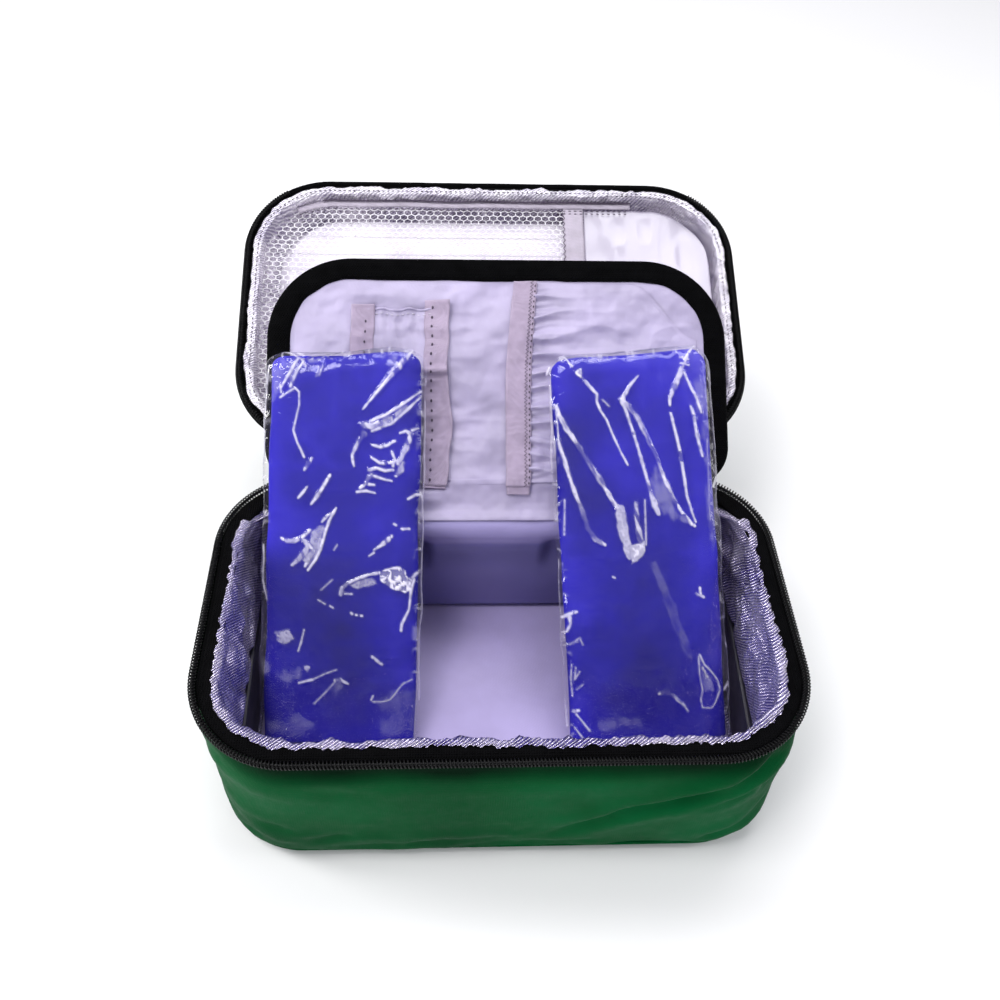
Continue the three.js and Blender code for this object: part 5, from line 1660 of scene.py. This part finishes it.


# Folds pressed into the sleeves, with painted highlights along them: (painted highlight, height, [(across, along, half
# width) ...]) in mm.
FOLDS_AND_HIGHLIGHTS = {
    "left": [
        (0.95, 0.8, [(7.6, 136.2, 0.32), (11.1, 140.7, 0.49), (14.7, 145.3, 0.73), (17.5, 148.7, 0.9), (21.5, 153.3, 1.34), (24.6, 157.4, 1.22), (26.6, 160.4, 0.61), (28.6, 162.5, 0.33)]),
        (0.9, 0.6, [(6.9, 130.0, 0.61), (8.9, 129.7, 1.62), (11.0, 129.3, 1.62), (13.8, 131.0, 0.89)]),
        (0.95, 0.5, [(10.9, 131.3, 0.49), (17.8, 134.4, 0.49), (24.2, 139.0, 0.45), (31.0, 144.1, 0.41)]),
        (0.9, 0.5, [(11.4, 127.3, 0.53), (19.5, 130.7, 0.61), (25.9, 136.6, 0.49), (31.1, 142.0, 0.41)]),
        (0.5, 0.4, [(13.8, 129.8, 1.42), (19.4, 132.8, 1.42), (24.6, 137.4, 1.02)]),
        (0.9, 0.6, [(8.2, 126.0, 1.22), (6.2, 123.1, 1.01), (4.7, 120.2, 0.81), (3.5, 117.3, 0.81), (4.0, 114.5, 0.65), (4.4, 112.8, 0.32)]),
        (0.9, 0.7, [(22.8, 126.7, 0.41), (25.2, 127.6, 0.81), (27.3, 126.4, 1.02), (26.5, 123.5, 1.43), (25.0, 120.2, 1.63), (23.8, 117.3, 1.3), (22.2, 114.4, 0.9)]),
        (0.8, 0.4, [(27.7, 128.0, 0.49), (30.1, 128.9, 0.37)]),
        (0.85, 0.5, [(24.3, 114.5, 0.81), (23.5, 111.6, 1.22), (21.5, 109.1, 0.61)]),
        (0.9, 0.5, [(11.5, 121.6, 0.41), (14.8, 120.8, 0.81), (18.0, 121.7, 0.61), (20.8, 123.4, 0.41)]),
        (0.85, 0.5, [(11.6, 116.3, 0.61), (14.9, 114.3, 0.81), (19.0, 114.4, 0.61), (21.8, 115.2, 0.41)]),
        (0.85, 0.5, [(10.5, 111.3, 0.81), (13.7, 112.2, 0.61), (17.0, 111.1, 0.81), (20.3, 111.5, 0.41)]),
        (0.85, 0.5, [(12.6, 108.9, 0.81), (16.3, 107.8, 0.61), (19.9, 107.0, 0.41)]),
        (0.8, 0.4, [(19.7, 118.9, 0.61), (21.0, 115.6, 0.81), (20.2, 113.2, 0.49)]),
        (0.9, 0.5, [(7.0, 103.9, 0.41), (9.4, 105.6, 0.73), (12.7, 105.3, 0.49)]),
        (0.85, 0.4, [(5.8, 102.3, 0.41), (9.5, 102.8, 0.49), (13.1, 102.0, 0.32)]),
        (0.85, 0.4, [(11.4, 109.7, 0.89), (9.4, 106.4, 0.81)]),
        (0.85, 0.4, [(-15.8, 110.8, 0.4), (-14.2, 113.3, 0.81), (-12.6, 115.7, 0.4)]),
        (0.85, 0.4, [(-17.9, 99.4, 0.4), (-16.0, 101.8, 0.81), (-14.4, 103.9, 0.4)]),
        (0.9, 0.5, [(-12.6, 97.0, 0.4), (-9.9, 100.7, 0.97), (-6.8, 106.1, 0.81), (-5.2, 109.0, 0.4)]),
        (0.95, 0.6, [(-2.5, 95.6, 0.32), (-3.7, 93.5, 0.61), (-5.2, 90.3, 0.65), (-6.4, 86.6, 0.57), (-7.5, 82.5, 0.57), (-8.6, 78.4, 0.57), (-10.6, 74.3, 0.61), (-13.3, 70.2, 0.4)]),
        (0.8, 0.4, [(-4.1, 93.5, 0.4), (-6.5, 91.9, 0.61), (-8.1, 89.8, 0.32)]),
        (0.9, 0.5, [(-24.4, 83.0, 0.4), (-22.4, 81.8, 0.8), (-19.2, 81.9, 0.89), (-16.4, 83.2, 0.97), (-14.4, 84.8, 0.81), (-12.8, 86.5, 0.4)]),
        (0.7, 0.5, [(-15.6, 82.4, 0.81), (-13.1, 80.4, 1.41), (-15.1, 77.1, 1.21), (-17.8, 73.8, 0.89), (-19.8, 72.1, 0.48)]),
        (0.9, 0.4, [(-13.1, 80.4, 0.56), (-11.4, 78.0, 1.05), (-13.4, 74.3, 0.81), (-14.5, 71.8, 0.64)]),
        (0.9, 0.5, [(15.4, 69.5, 0.61), (11.0, 68.6, 0.49), (6.5, 66.9, 0.57), (2.9, 65.2, 0.65), (0.6, 63.1, 0.81), (0.2, 60.7, 1.01)]),
        (0.8, 0.3, [(1.8, 60.7, 0.4), (4.6, 60.7, 0.32)]),
        (0.95, 0.5, [(28.5, 66.8, 0.61), (30.4, 69.3, 0.9), (32.5, 70.5, 0.81), (33.7, 69.3, 0.41)]),
        (0.95, 0.5, [(29.7, 66.8, 0.49), (28.5, 62.7, 0.45), (28.2, 58.6, 0.41), (27.9, 54.6, 0.37), (26.3, 51.3, 0.45), (25.2, 48.8, 0.49), (24.8, 46.0, 0.37)]),
        (0.9, 0.4, [(13.2, 78.8, 0.32), (16.4, 80.9, 0.81), (18.8, 83.0, 0.98), (20.4, 84.6, 0.41)]),
        (0.8, 0.3, [(11.2, 76.3, 0.28), (13.2, 77.6, 0.41)]),
        (0.95, 0.3, [(24.4, 87.5, 0.65), (27.2, 87.6, 0.49)]),
        (0.7, 0.2, [(21.1, 89.5, 0.41), (21.9, 89.1, 0.41)]),
        (0.95, 0.3, [(-16.0, 24.4, 0.32), (-10.8, 25.7, 0.48)]),
        (0.6, 0.2, [(-10.8, 25.7, 0.24), (-5.6, 28.2, 0.24), (-1.2, 29.8, 0.2)]),
        (0.7, 0.3, [(-1.5, 25.4, 0.61), (0.5, 25.8, 1.01), (3.8, 24.2, 0.4)]),
        (0.5, 0.2, [(-9.8, 16.0, 0.24), (-5.4, 20.5, 0.24), (-1.9, 24.5, 0.28)]),
        (0.7, 0.3, [(13.3, 35.3, 0.61), (15.3, 33.7, 0.81), (17.4, 32.1, 0.49)]),
        (0.6, 0.2, [(14.0, 17.0, 0.24), (17.3, 17.0, 0.28), (20.9, 17.9, 0.28), (24.1, 22.0, 0.24), (26.0, 24.4, 0.24), (29.7, 26.1, 0.24)]),
        (0.8, 0.4, [(-26.0, 140.3, 0.4), (-22.9, 142.4, 0.36), (-20.1, 144.1, 0.4), (-18.4, 142.5, 0.36), (-18.3, 137.2, 0.32), (-19.4, 131.9, 0.32), (-20.5, 127.0, 0.36), (-18.8, 122.1, 0.4), (-17.1, 118.9, 0.4), (-15.9, 116.1, 0.4)]),
        (0.85, 0.5, [(-19.5, 156.7, 0.48), (-21.4, 152.2, 0.6), (-23.8, 148.0, 0.52), (-25.7, 144.3, 0.4)]),
        (0.9, 0.5, [(-17.1, 155.5, 0.4), (-19.4, 151.4, 0.61), (-21.3, 146.5, 0.81), (-22.1, 144.8, 0.48)]),
        (0.8, 0.4, [(-18.3, 156.3, 0.4), (-15.8, 153.1, 0.32)]),
        (0.8, 0.4, [(-26.1, 145.1, 0.6), (-25.7, 142.3, 0.4)]),
        (0.8, 0.5, [(-30.4, 158.4, 0.4), (-26.5, 160.2, 0.4), (-22.4, 158.7, 0.4), (-18.7, 156.7, 0.4)]),
        (0.6, 0.4, [(-31.1, 153.1, 0.36), (-31.8, 145.0, 0.36), (-32.0, 134.8, 0.32), (-32.9, 122.6, 0.28), (-33.4, 106.4, 0.28)]),
        (0.5, 0.2, [(-10.5, 149.6, 0.32), (-9.0, 153.7, 0.28)]),
        (0.4, 0.2, [(-11.7, 149.2, 0.24), (-10.2, 153.3, 0.2)]),
        (0.6, 0.3, [(-32.0, 80.1, 0.36), (-31.5, 74.0, 0.36), (-31.7, 65.9, 0.32), (-29.9, 57.8, 0.24)]),
        (0.6, 0.4, [(32.7, 140.4, 0.33), (32.6, 124.1, 0.33), (32.7, 99.5, 0.29), (32.8, 75.0, 0.29), (32.6, 42.4, 0.29), (32.7, 18.0, 0.28)]),
        (0.9, 0.4, [(26.6, 99.8, 0.41), (29.4, 101.5, 0.49), (32.3, 102.0, 0.65), (32.7, 99.5, 0.41)]),
        (0.8, 0.3, [(-14.4, 45.9, 0.28), (-15.5, 41.0, 0.4), (-16.6, 37.3, 0.32)]),
        (0.9, 0.2, [(4.4, 53.0, 0.36), (4.8, 52.6, 0.36)]),
        (0.9, 0.2, [(6.4, 52.2, 0.36), (6.8, 52.2, 0.36)]),
        (0.9, 0.2, [(8.5, 51.9, 0.45), (8.9, 51.9, 0.4)]),
        (0.6, 0.2, [(-9.0, 58.1, 0.24), (-6.2, 56.5, 0.32)]),
        (0.7, 0.2, [(-4.1, 55.7, 0.32), (-2.9, 55.0, 0.4)]),
        (0.5, 0.2, [(-3.0, 78.5, 0.24), (-1.8, 80.6, 0.24)]),
        (0.5, 0.2, [(-7.9, 62.2, 0.2), (-3.5, 66.3, 0.2)]),
        (0.7, 0.2, [(13.2, 17.8, 0.32), (14.0, 19.4, 0.32)]),
    ],
    "right": [
        (0.7, 0.5, [(-30.1, 162.1, 0.29), (-26.9, 159.9, 0.33), (-24.6, 156.1, 0.46)]),
        (0.9, 0.5, [(-19.6, 149.7, 0.75), (-16.9, 146.2, 0.83), (-14.9, 144.1, 0.58), (-15.1, 140.8, 0.46), (-14.0, 137.4, 0.46), (-11.4, 133.1, 0.46), (-9.2, 126.8, 0.42), (-6.7, 120.5, 0.37), (-3.7, 114.2, 0.33)]),
        (0.4, 0.2, [(-12.6, 141.5, 0.5), (-10.2, 138.9, 0.42)]),
        (0.9, 0.6, [(2.5, 150.7, 0.25), (-0.6, 147.5, 0.58), (-3.3, 143.5, 1.0), (-4.7, 140.7, 1.16), (-3.6, 138.1, 0.83), (-1.5, 130.6, 0.58), (0.9, 121.0, 0.54), (3.6, 109.7, 0.58), (5.3, 102.5, 0.83), (6.6, 97.1, 1.33), (8.1, 93.3, 0.92)]),
        (0.95, 0.7, [(-4.7, 141.1, 1.0), (-2.3, 138.9, 1.25), (1.5, 133.3, 1.08), (5.2, 124.9, 0.92), (8.2, 117.7, 0.83), (10.6, 109.3, 0.83), (14.3, 99.6, 0.75), (18.1, 92.8, 0.84), (21.6, 88.4, 0.92), (22.8, 87.5, 0.42)]),
        (0.95, 0.7, [(27.5, 162.8, 0.34), (25.2, 160.5, 0.55), (23.0, 157.6, 0.75), (21.5, 154.0, 1.09), (19.1, 149.1, 1.17), (16.8, 144.2, 1.25), (15.3, 141.0, 1.0), (15.2, 138.1, 0.42)]),
        (0.9, 0.5, [(15.4, 134.7, 0.42), (16.7, 127.6, 0.59), (18.3, 119.3, 0.67), (19.4, 108.8, 0.59), (20.2, 100.5, 0.5), (21.9, 93.4, 0.42), (23.3, 89.2, 0.33)]),
        (0.8, 0.4, [(20.5, 157.8, 0.34), (23.8, 156.8, 0.42)]),
        (0.8, 0.4, [(20.7, 155.3, 0.34), (24.0, 154.3, 0.42)]),
        (0.9, 0.5, [(21.8, 151.5, 0.34), (24.0, 146.0, 0.5), (26.6, 140.4, 0.63), (28.4, 134.5, 0.42)]),
        (0.9, 0.5, [(23.9, 137.2, 0.34), (25.0, 133.5, 0.63), (25.8, 126.4, 0.75), (26.8, 120.5, 0.63), (27.8, 116.3, 0.42)]),
        (0.95, 0.7, [(-32.1, 140.3, 0.62), (-31.1, 136.2, 1.16), (-28.5, 131.1, 1.08), (-25.1, 125.6, 0.99), (-21.7, 119.2, 0.99), (-17.9, 112.8, 1.24), (-14.5, 106.5, 1.08), (-11.5, 100.9, 1.0), (-9.2, 96.7, 1.08)]),
        (0.85, 0.5, [(-9.2, 96.7, 1.08), (-7.5, 89.6, 1.25), (-5.8, 82.5, 1.33), (-4.5, 76.6, 1.16)]),
        (0.85, 0.4, [(-1.2, 98.3, 0.92), (-1.2, 91.3, 1.08), (-0.4, 83.8, 1.16), (0.6, 78.8, 1.04), (-2.5, 74.9, 0.83)]),
        (0.7, 0.3, [(2.6, 99.4, 0.25), (2.3, 87.0, 0.29), (2.0, 80.8, 0.25)]),
        (0.9, 0.6, [(-31.7, 125.9, 0.41), (-30.3, 119.6, 0.83), (-28.3, 111.3, 0.83), (-26.2, 104.2, 0.83), (-23.7, 96.6, 0.91), (-21.7, 89.1, 1.08), (-18.6, 84.0, 0.99), (-15.0, 81.8, 0.62)]),
        (0.8, 0.4, [(-32.3, 137.5, 0.33), (-31.7, 125.9, 0.33)]),
        (0.6, 0.3, [(-30.5, 101.1, 0.29), (-31.3, 86.8, 0.25)]),
        (0.9, 0.4, [(-34.0, 52.8, 0.62), (-31.0, 54.3, 0.91), (-28.1, 54.9, 0.41)]),
        (0.8, 0.4, [(-31.1, 52.7, 0.83), (-30.8, 50.2, 0.62), (-32.2, 47.0, 0.41), (-33.9, 46.7, 0.29)]),
        (0.5, 0.2, [(-31.3, 41.6, 0.25), (-27.4, 44.2, 0.29), (-26.3, 41.3, 0.25)]),
        (0.4, 0.2, [(-33.8, 41.3, 0.21), (-28.3, 42.6, 0.21)]),
        (0.6, 0.2, [(-31.3, 33.4, 0.29), (-32.0, 27.3, 0.29), (-31.6, 20.3, 0.25)]),
        (0.6, 0.2, [(-29.7, 32.1, 0.29), (-30.4, 27.2, 0.33), (-28.2, 30.3, 0.25)]),
        (0.5, 0.2, [(-29.8, 23.1, 0.25), (-27.2, 24.9, 0.25)]),
        (0.95, 0.4, [(-31.5, 14.2, 0.82), (-29.4, 14.4, 0.41)]),
        (0.7, 0.3, [(-30.4, 12.9, 0.41), (-27.3, 8.6, 0.49), (-25.4, 6.0, 0.37)]),
        (0.7, 0.2, [(-31.5, 7.6, 0.29), (-27.3, 1.6, 0.33)]),
        (0.6, 0.3, [(21.9, 34.3, 0.42), (23.7, 30.1, 0.38), (26.5, 27.0, 0.33), (28.8, 23.6, 0.33), (29.8, 19.4, 0.33), (27.4, 14.2, 0.33), (25.7, 12.2, 0.29)]),
        (0.5, 0.2, [(21.4, 33.5, 0.33), (21.4, 26.1, 0.33), (22.3, 19.8, 0.29), (21.3, 15.8, 0.29), (21.9, 12.5, 0.29), (25.2, 12.2, 0.29)]),
        (0.5, 0.3, [(22.8, 28.9, 0.63), (25.1, 23.8, 0.92), (26.5, 19.6, 0.67)]),
        (0.45, 0.3, [(4.0, 19.3, 0.42), (6.9, 20.0, 0.92), (10.1, 17.7, 0.92), (14.1, 14.2, 0.83), (15.6, 11.6, 0.42)]),
        (0.95, 0.3, [(22.1, 59.5, 0.63), (24.9, 58.1, 0.63)]),
        (0.95, 0.3, [(23.5, 61.9, 0.42), (23.7, 59.4, 0.42)]),
        (0.8, 0.3, [(31.5, 19.3, 0.38), (33.3, 22.1, 0.46), (33.6, 20.0, 0.38)]),
        (0.1, 0.2, [(5.3, 72.4, 2.08), (9.9, 57.7, 2.5), (14.1, 45.1, 2.5), (17.7, 34.5, 1.67)]),
        (0.35, 0.3, [(32.3, 159.3, 0.34), (34.1, 130.9, 0.34), (34.2, 89.4, 0.34), (34.4, 48.0, 0.34), (34.3, 2.6, 0.33)]),
        (0.8, 0.5, [(-34.1, 158.2, 0.58), (-34.3, 154.0, 0.5), (-33.3, 156.5, 0.41)]),
        (0.6, 0.5, [(-33.7, 148.7, 0.37), (-34.5, 134.3, 0.45), (-34.4, 121.9, 0.5), (-35.2, 105.5, 0.5), (-35.0, 95.2, 0.54), (-35.6, 82.9, 0.49)]),
        (0.7, 0.5, [(-34.7, 76.7, 0.37), (-35.0, 64.4, 0.58), (-34.9, 43.9, 0.49), (-35.1, 23.4, 0.41), (-34.3, 7.8, 0.37)]),
        (0.35, 0.2, [(30.2, 122.8, 0.34), (29.6, 89.7, 0.34)]),
        (0.8, 0.2, [(-12.4, 68.4, 0.33), (-11.6, 68.0, 0.33)]),
    ],
}
# Crumpled areas with painted highlights: (painted highlight, how broken up, [(across, along) ...]).
CRUMPLES_AND_HIGHLIGHTS = {
    "left": [
        (0.28, 0.2, [(16.2, 154.4), (18.1, 159.7), (22.1, 160.7), (23.8, 157.8), (20.7, 153.2), (17.5, 149.9)]),
        (0.38, 0.4, [(-12.8, 86.5), (-6.4, 89.8), (-8.2, 79.2), (-13.3, 71.0), (-15.8, 74.2), (-12.7, 79.2)]),
        (0.95, 1.0, [(15.4, 69.9), (17.4, 71.5), (20.6, 72.0), (23.9, 72.4), (25.9, 71.2), (26.8, 68.4), (28.9, 66.8), (28.5, 62.7), (26.1, 61.1), (23.3, 61.8), (19.2, 63.4), (15.9, 65.4)]),
        (0.35, 0.4, [(3.0, 64.8), (12.6, 68.2), (15.9, 64.6), (4.6, 62.4)]),
        (0.5, 0.5, [(-14.9, 32.1), (-11.3, 31.3), (-12.4, 28.5), (-14.5, 29.3)]),
        (0.22, 0.4, [(-26.9, 28.7), (-19.8, 32.0), (-13.3, 30.5), (-15.6, 25.6), (-20.4, 22.3), (-25.2, 24.7)]),
        (0.16, 0.2, [(-1.9, 25.4), (3.8, 25.0), (2.6, 21.8), (-0.6, 18.9), (-3.3, 16.0), (-4.9, 13.6)]),
        (0.22, 0.4, [(26.3, 30.1), (30.4, 31.0), (31.7, 26.1), (25.6, 24.8)]),
        (0.26, 0.6, [(-32.6, 35.1), (-29.5, 36.4), (-27.0, 32.0), (-28.4, 24.7), (-31.6, 23.8), (-32.5, 28.7)]),
        (0.22, 0.6, [(-31.3, 159.2), (-19.1, 157.1), (-18.2, 150.6), (-24.1, 142.3), (-29.2, 138.1), (-30.9, 143.0)]),
        (0.45, 0.6, [(-26.8, 44.9), (-20.1, 46.6), (-17.5, 41.8), (-22.3, 39.7), (-25.6, 41.3)]),
        (0.13, 0.4, [(-30.5, 9.3), (-15.3, 12.7), (-7.2, 7.5), (-15.1, 2.2), (-29.1, 2.1)]),
        (0.1, 0.3, [(20.8, 21.9), (31.7, 23.7), (32.6, 2.5), (13.9, 2.4), (13.7, 15.4)]),
    ],
    "right": [
        (0.9, 0.7, [(-24.3, 154.0), (-20.5, 155.5), (-20.3, 152.2), (-18.3, 150.0), (-21.6, 150.2), (-23.6, 151.9)]),
        (0.22, 0.1, [(7.8, 117.7), (11.0, 108.0), (17.0, 95.3), (22.4, 87.6), (13.3, 89.7), (7.3, 94.2), (4.3, 107.6)]),
        (0.55, 0.3, [(-10.8, 98.8), (-6.2, 98.2), (-4.3, 87.4), (-3.3, 74.9), (-5.9, 74.2), (-9.4, 85.6)]),
        (0.8, 0.5, [(-5.5, 81.2), (1.7, 82.9), (1.8, 77.9), (-1.7, 74.0), (-4.7, 72.9)]),
        (0.2, 0.4, [(21.5, 34.3), (28.4, 23.6), (27.5, 15.4), (22.8, 19.8), (21.5, 27.3)]),
        (0.12, 0.3, [(-25.0, 12.1), (-4.4, 10.8), (-2.7, 5.0), (-24.6, 5.5)]),
        (0.16, 0.2, [(24.1, 148.0), (33.8, 155.9), (34.2, 89.4), (29.1, 73.1), (27.4, 110.5)]),
        (0.14, 0.2, [(-28.6, 160.4), (-12.7, 162.2), (25.0, 163.8), (26.5, 160.4), (3.7, 157.3), (-25.4, 156.9)]),
    ],
}

for side_ in ("left", "right"):
    pack_mesh(side_)


# ------------------------------------------------- zipper sliders and pulls
def sliders():
    for side, sx in (("left", -1), ("right", 1)):
        a = math.radians(68) if sx > 0 else math.pi - math.radians(68)
        c, s = math.cos(a), math.sin(a)

        def to_row(P, c=c, s=s, sx=sx):
            P = np.array(P, float)
            x, y, z = P[..., 0], P[..., 1], P[..., 2]
            return np.stack([sx * 76.0 + x * c - y * s, 30.0 + x * s + y * c, z], -1)

        R = RIM_R
        # body: a rounded wedge outside and under the coil, closed section along the run
        sec = np.array([(R - 0.6, 70.2), (R - 0.6, 68.6), (R - 0.2, 68.25), (R + 2.6, 68.25), (R + 3.3, 68.9), (R + 3.3, 72.9), (R + 2.8, 73.5), (R + 1.5, 73.55), (R + 1.0, 73.1), (R + 1.0, 70.2)])
        ys = np.linspace(-5.5, 5.5, 23)
        G = np.zeros((len(ys), len(sec), 3))
        ctr = np.array([R + 1.6, 70.9])
        for i, y in enumerate(ys):
            e = abs(y) / 5.5
            k = 1 - 0.16 * e**4
            G[i, :, 0] = ctr[0] + (sec[:, 0] - ctr[0]) * k
            G[i, :, 0] = np.where(sec[:, 0] < R + 1.2, sec[:, 0], G[i, :, 0])
            G[i, :, 1] = y
            G[i, :, 2] = ctr[1] + (sec[:, 1] - ctr[1]) * (1 - 0.1 * e**4)
        nu, nv = G.shape[:2]
        I, J = np.meshgrid(np.arange(nu - 1), np.arange(nv), indexing="ij")
        L = (J + 1) % nv
        q = np.stack([I * nv + J, I * nv + L, (I + 1) * nv + L, (I + 1) * nv + J], -1).reshape(-1, 4)
        V = G.reshape(-1, 3)
        m = len(V)
        j = np.arange(nv)
        V = np.concatenate([V, G[0].mean(0)[None], G[-1].mean(0)[None]])
        T = np.concatenate([np.stack([np.full(nv, m), (j + 1) % nv, j], -1), np.stack([np.full(nv, m + 1), (nu - 1) * nv + j, (nu - 1) * nv + (j + 1) % nv], -1)])
        o = build(f"slider_body_{side}", to_row(V), q, T, METAL)
        fix_normals(o)
        bev = o.modifiers.new("bevel", "BEVEL")
        bev.width, bev.segments, bev.limit_method, bev.angle_limit = 0.00025, 2, "ANGLE", 0.7
        piece(o, f"slider_{side}", "zipper_metal", f"zipper_slider_{side}")
        # bail that holds the pull
        t = np.linspace(0, math.pi, 15)
        p = np.stack([R + 3.1 + 1.9 * np.sin(t), np.zeros(15), 71.2 + 1.5 * np.cos(t)], -1)
        v, q, t2 = tube(p, 0.42, 8, up=np.array([0, 1.0, 0]))
        piece(build(f"slider_bail_{side}", to_row(v), q, t2, METAL), f"slider_{side}", "zipper_metal")
        # pull: a waisted tab with an eye at the top, drawn as a closed loft through its thickness
        zc, n = CLOSE_Z - 12.5, 60
        aa = np.linspace(0, 2 * math.pi, n, endpoint=False)
        oy = 2.6 * np.sign(np.cos(aa)) * np.abs(np.cos(aa)) ** 0.75 * (0.80 + 0.20 * np.cos(aa * 0 + np.sin(aa) * 2.2))
        oz = 10.4 * np.sign(np.sin(aa)) * np.abs(np.sin(aa)) ** 0.9
        iy, iz = 1.35 * np.cos(aa), 8.15 + 1.25 * np.sin(aa)
        layers = []
        for off_x, k in ((3.8, 0.93), (3.95, 1.0), (4.95, 1.0), (5.1, 0.93)):
            layers.append((off_x, oy * k, oz * (1 - (1 - k) * 0.3)))
        rings = [(x, y, z + zc) for x, y, z in layers] + [(5.1, iy * 1.1, iz + zc), (4.9, iy, iz + zc), (4.0, iy, iz + zc), (3.8, iy * 1.1, iz + zc)]
        G = np.stack([np.stack([np.full(n, R + x), y, z], -1) for x, y, z in rings], 1)
        nu, nv = G.shape[:2]
        I, J = np.meshgrid(np.arange(nu), np.arange(nv), indexing="ij")
        K, L = (I + 1) % nu, (J + 1) % nv
        q = np.stack([I * nv + J, K * nv + J, K * nv + L, I * nv + L], -1).reshape(-1, 4)
        o = build(f"pull_tab_{side}", to_row(G.reshape(-1, 3)), q, (), METAL)
        fix_normals(o)
        piece(o, f"pull_{side}", "zipper_metal", f"zipper_pull_{side}")


sliders()
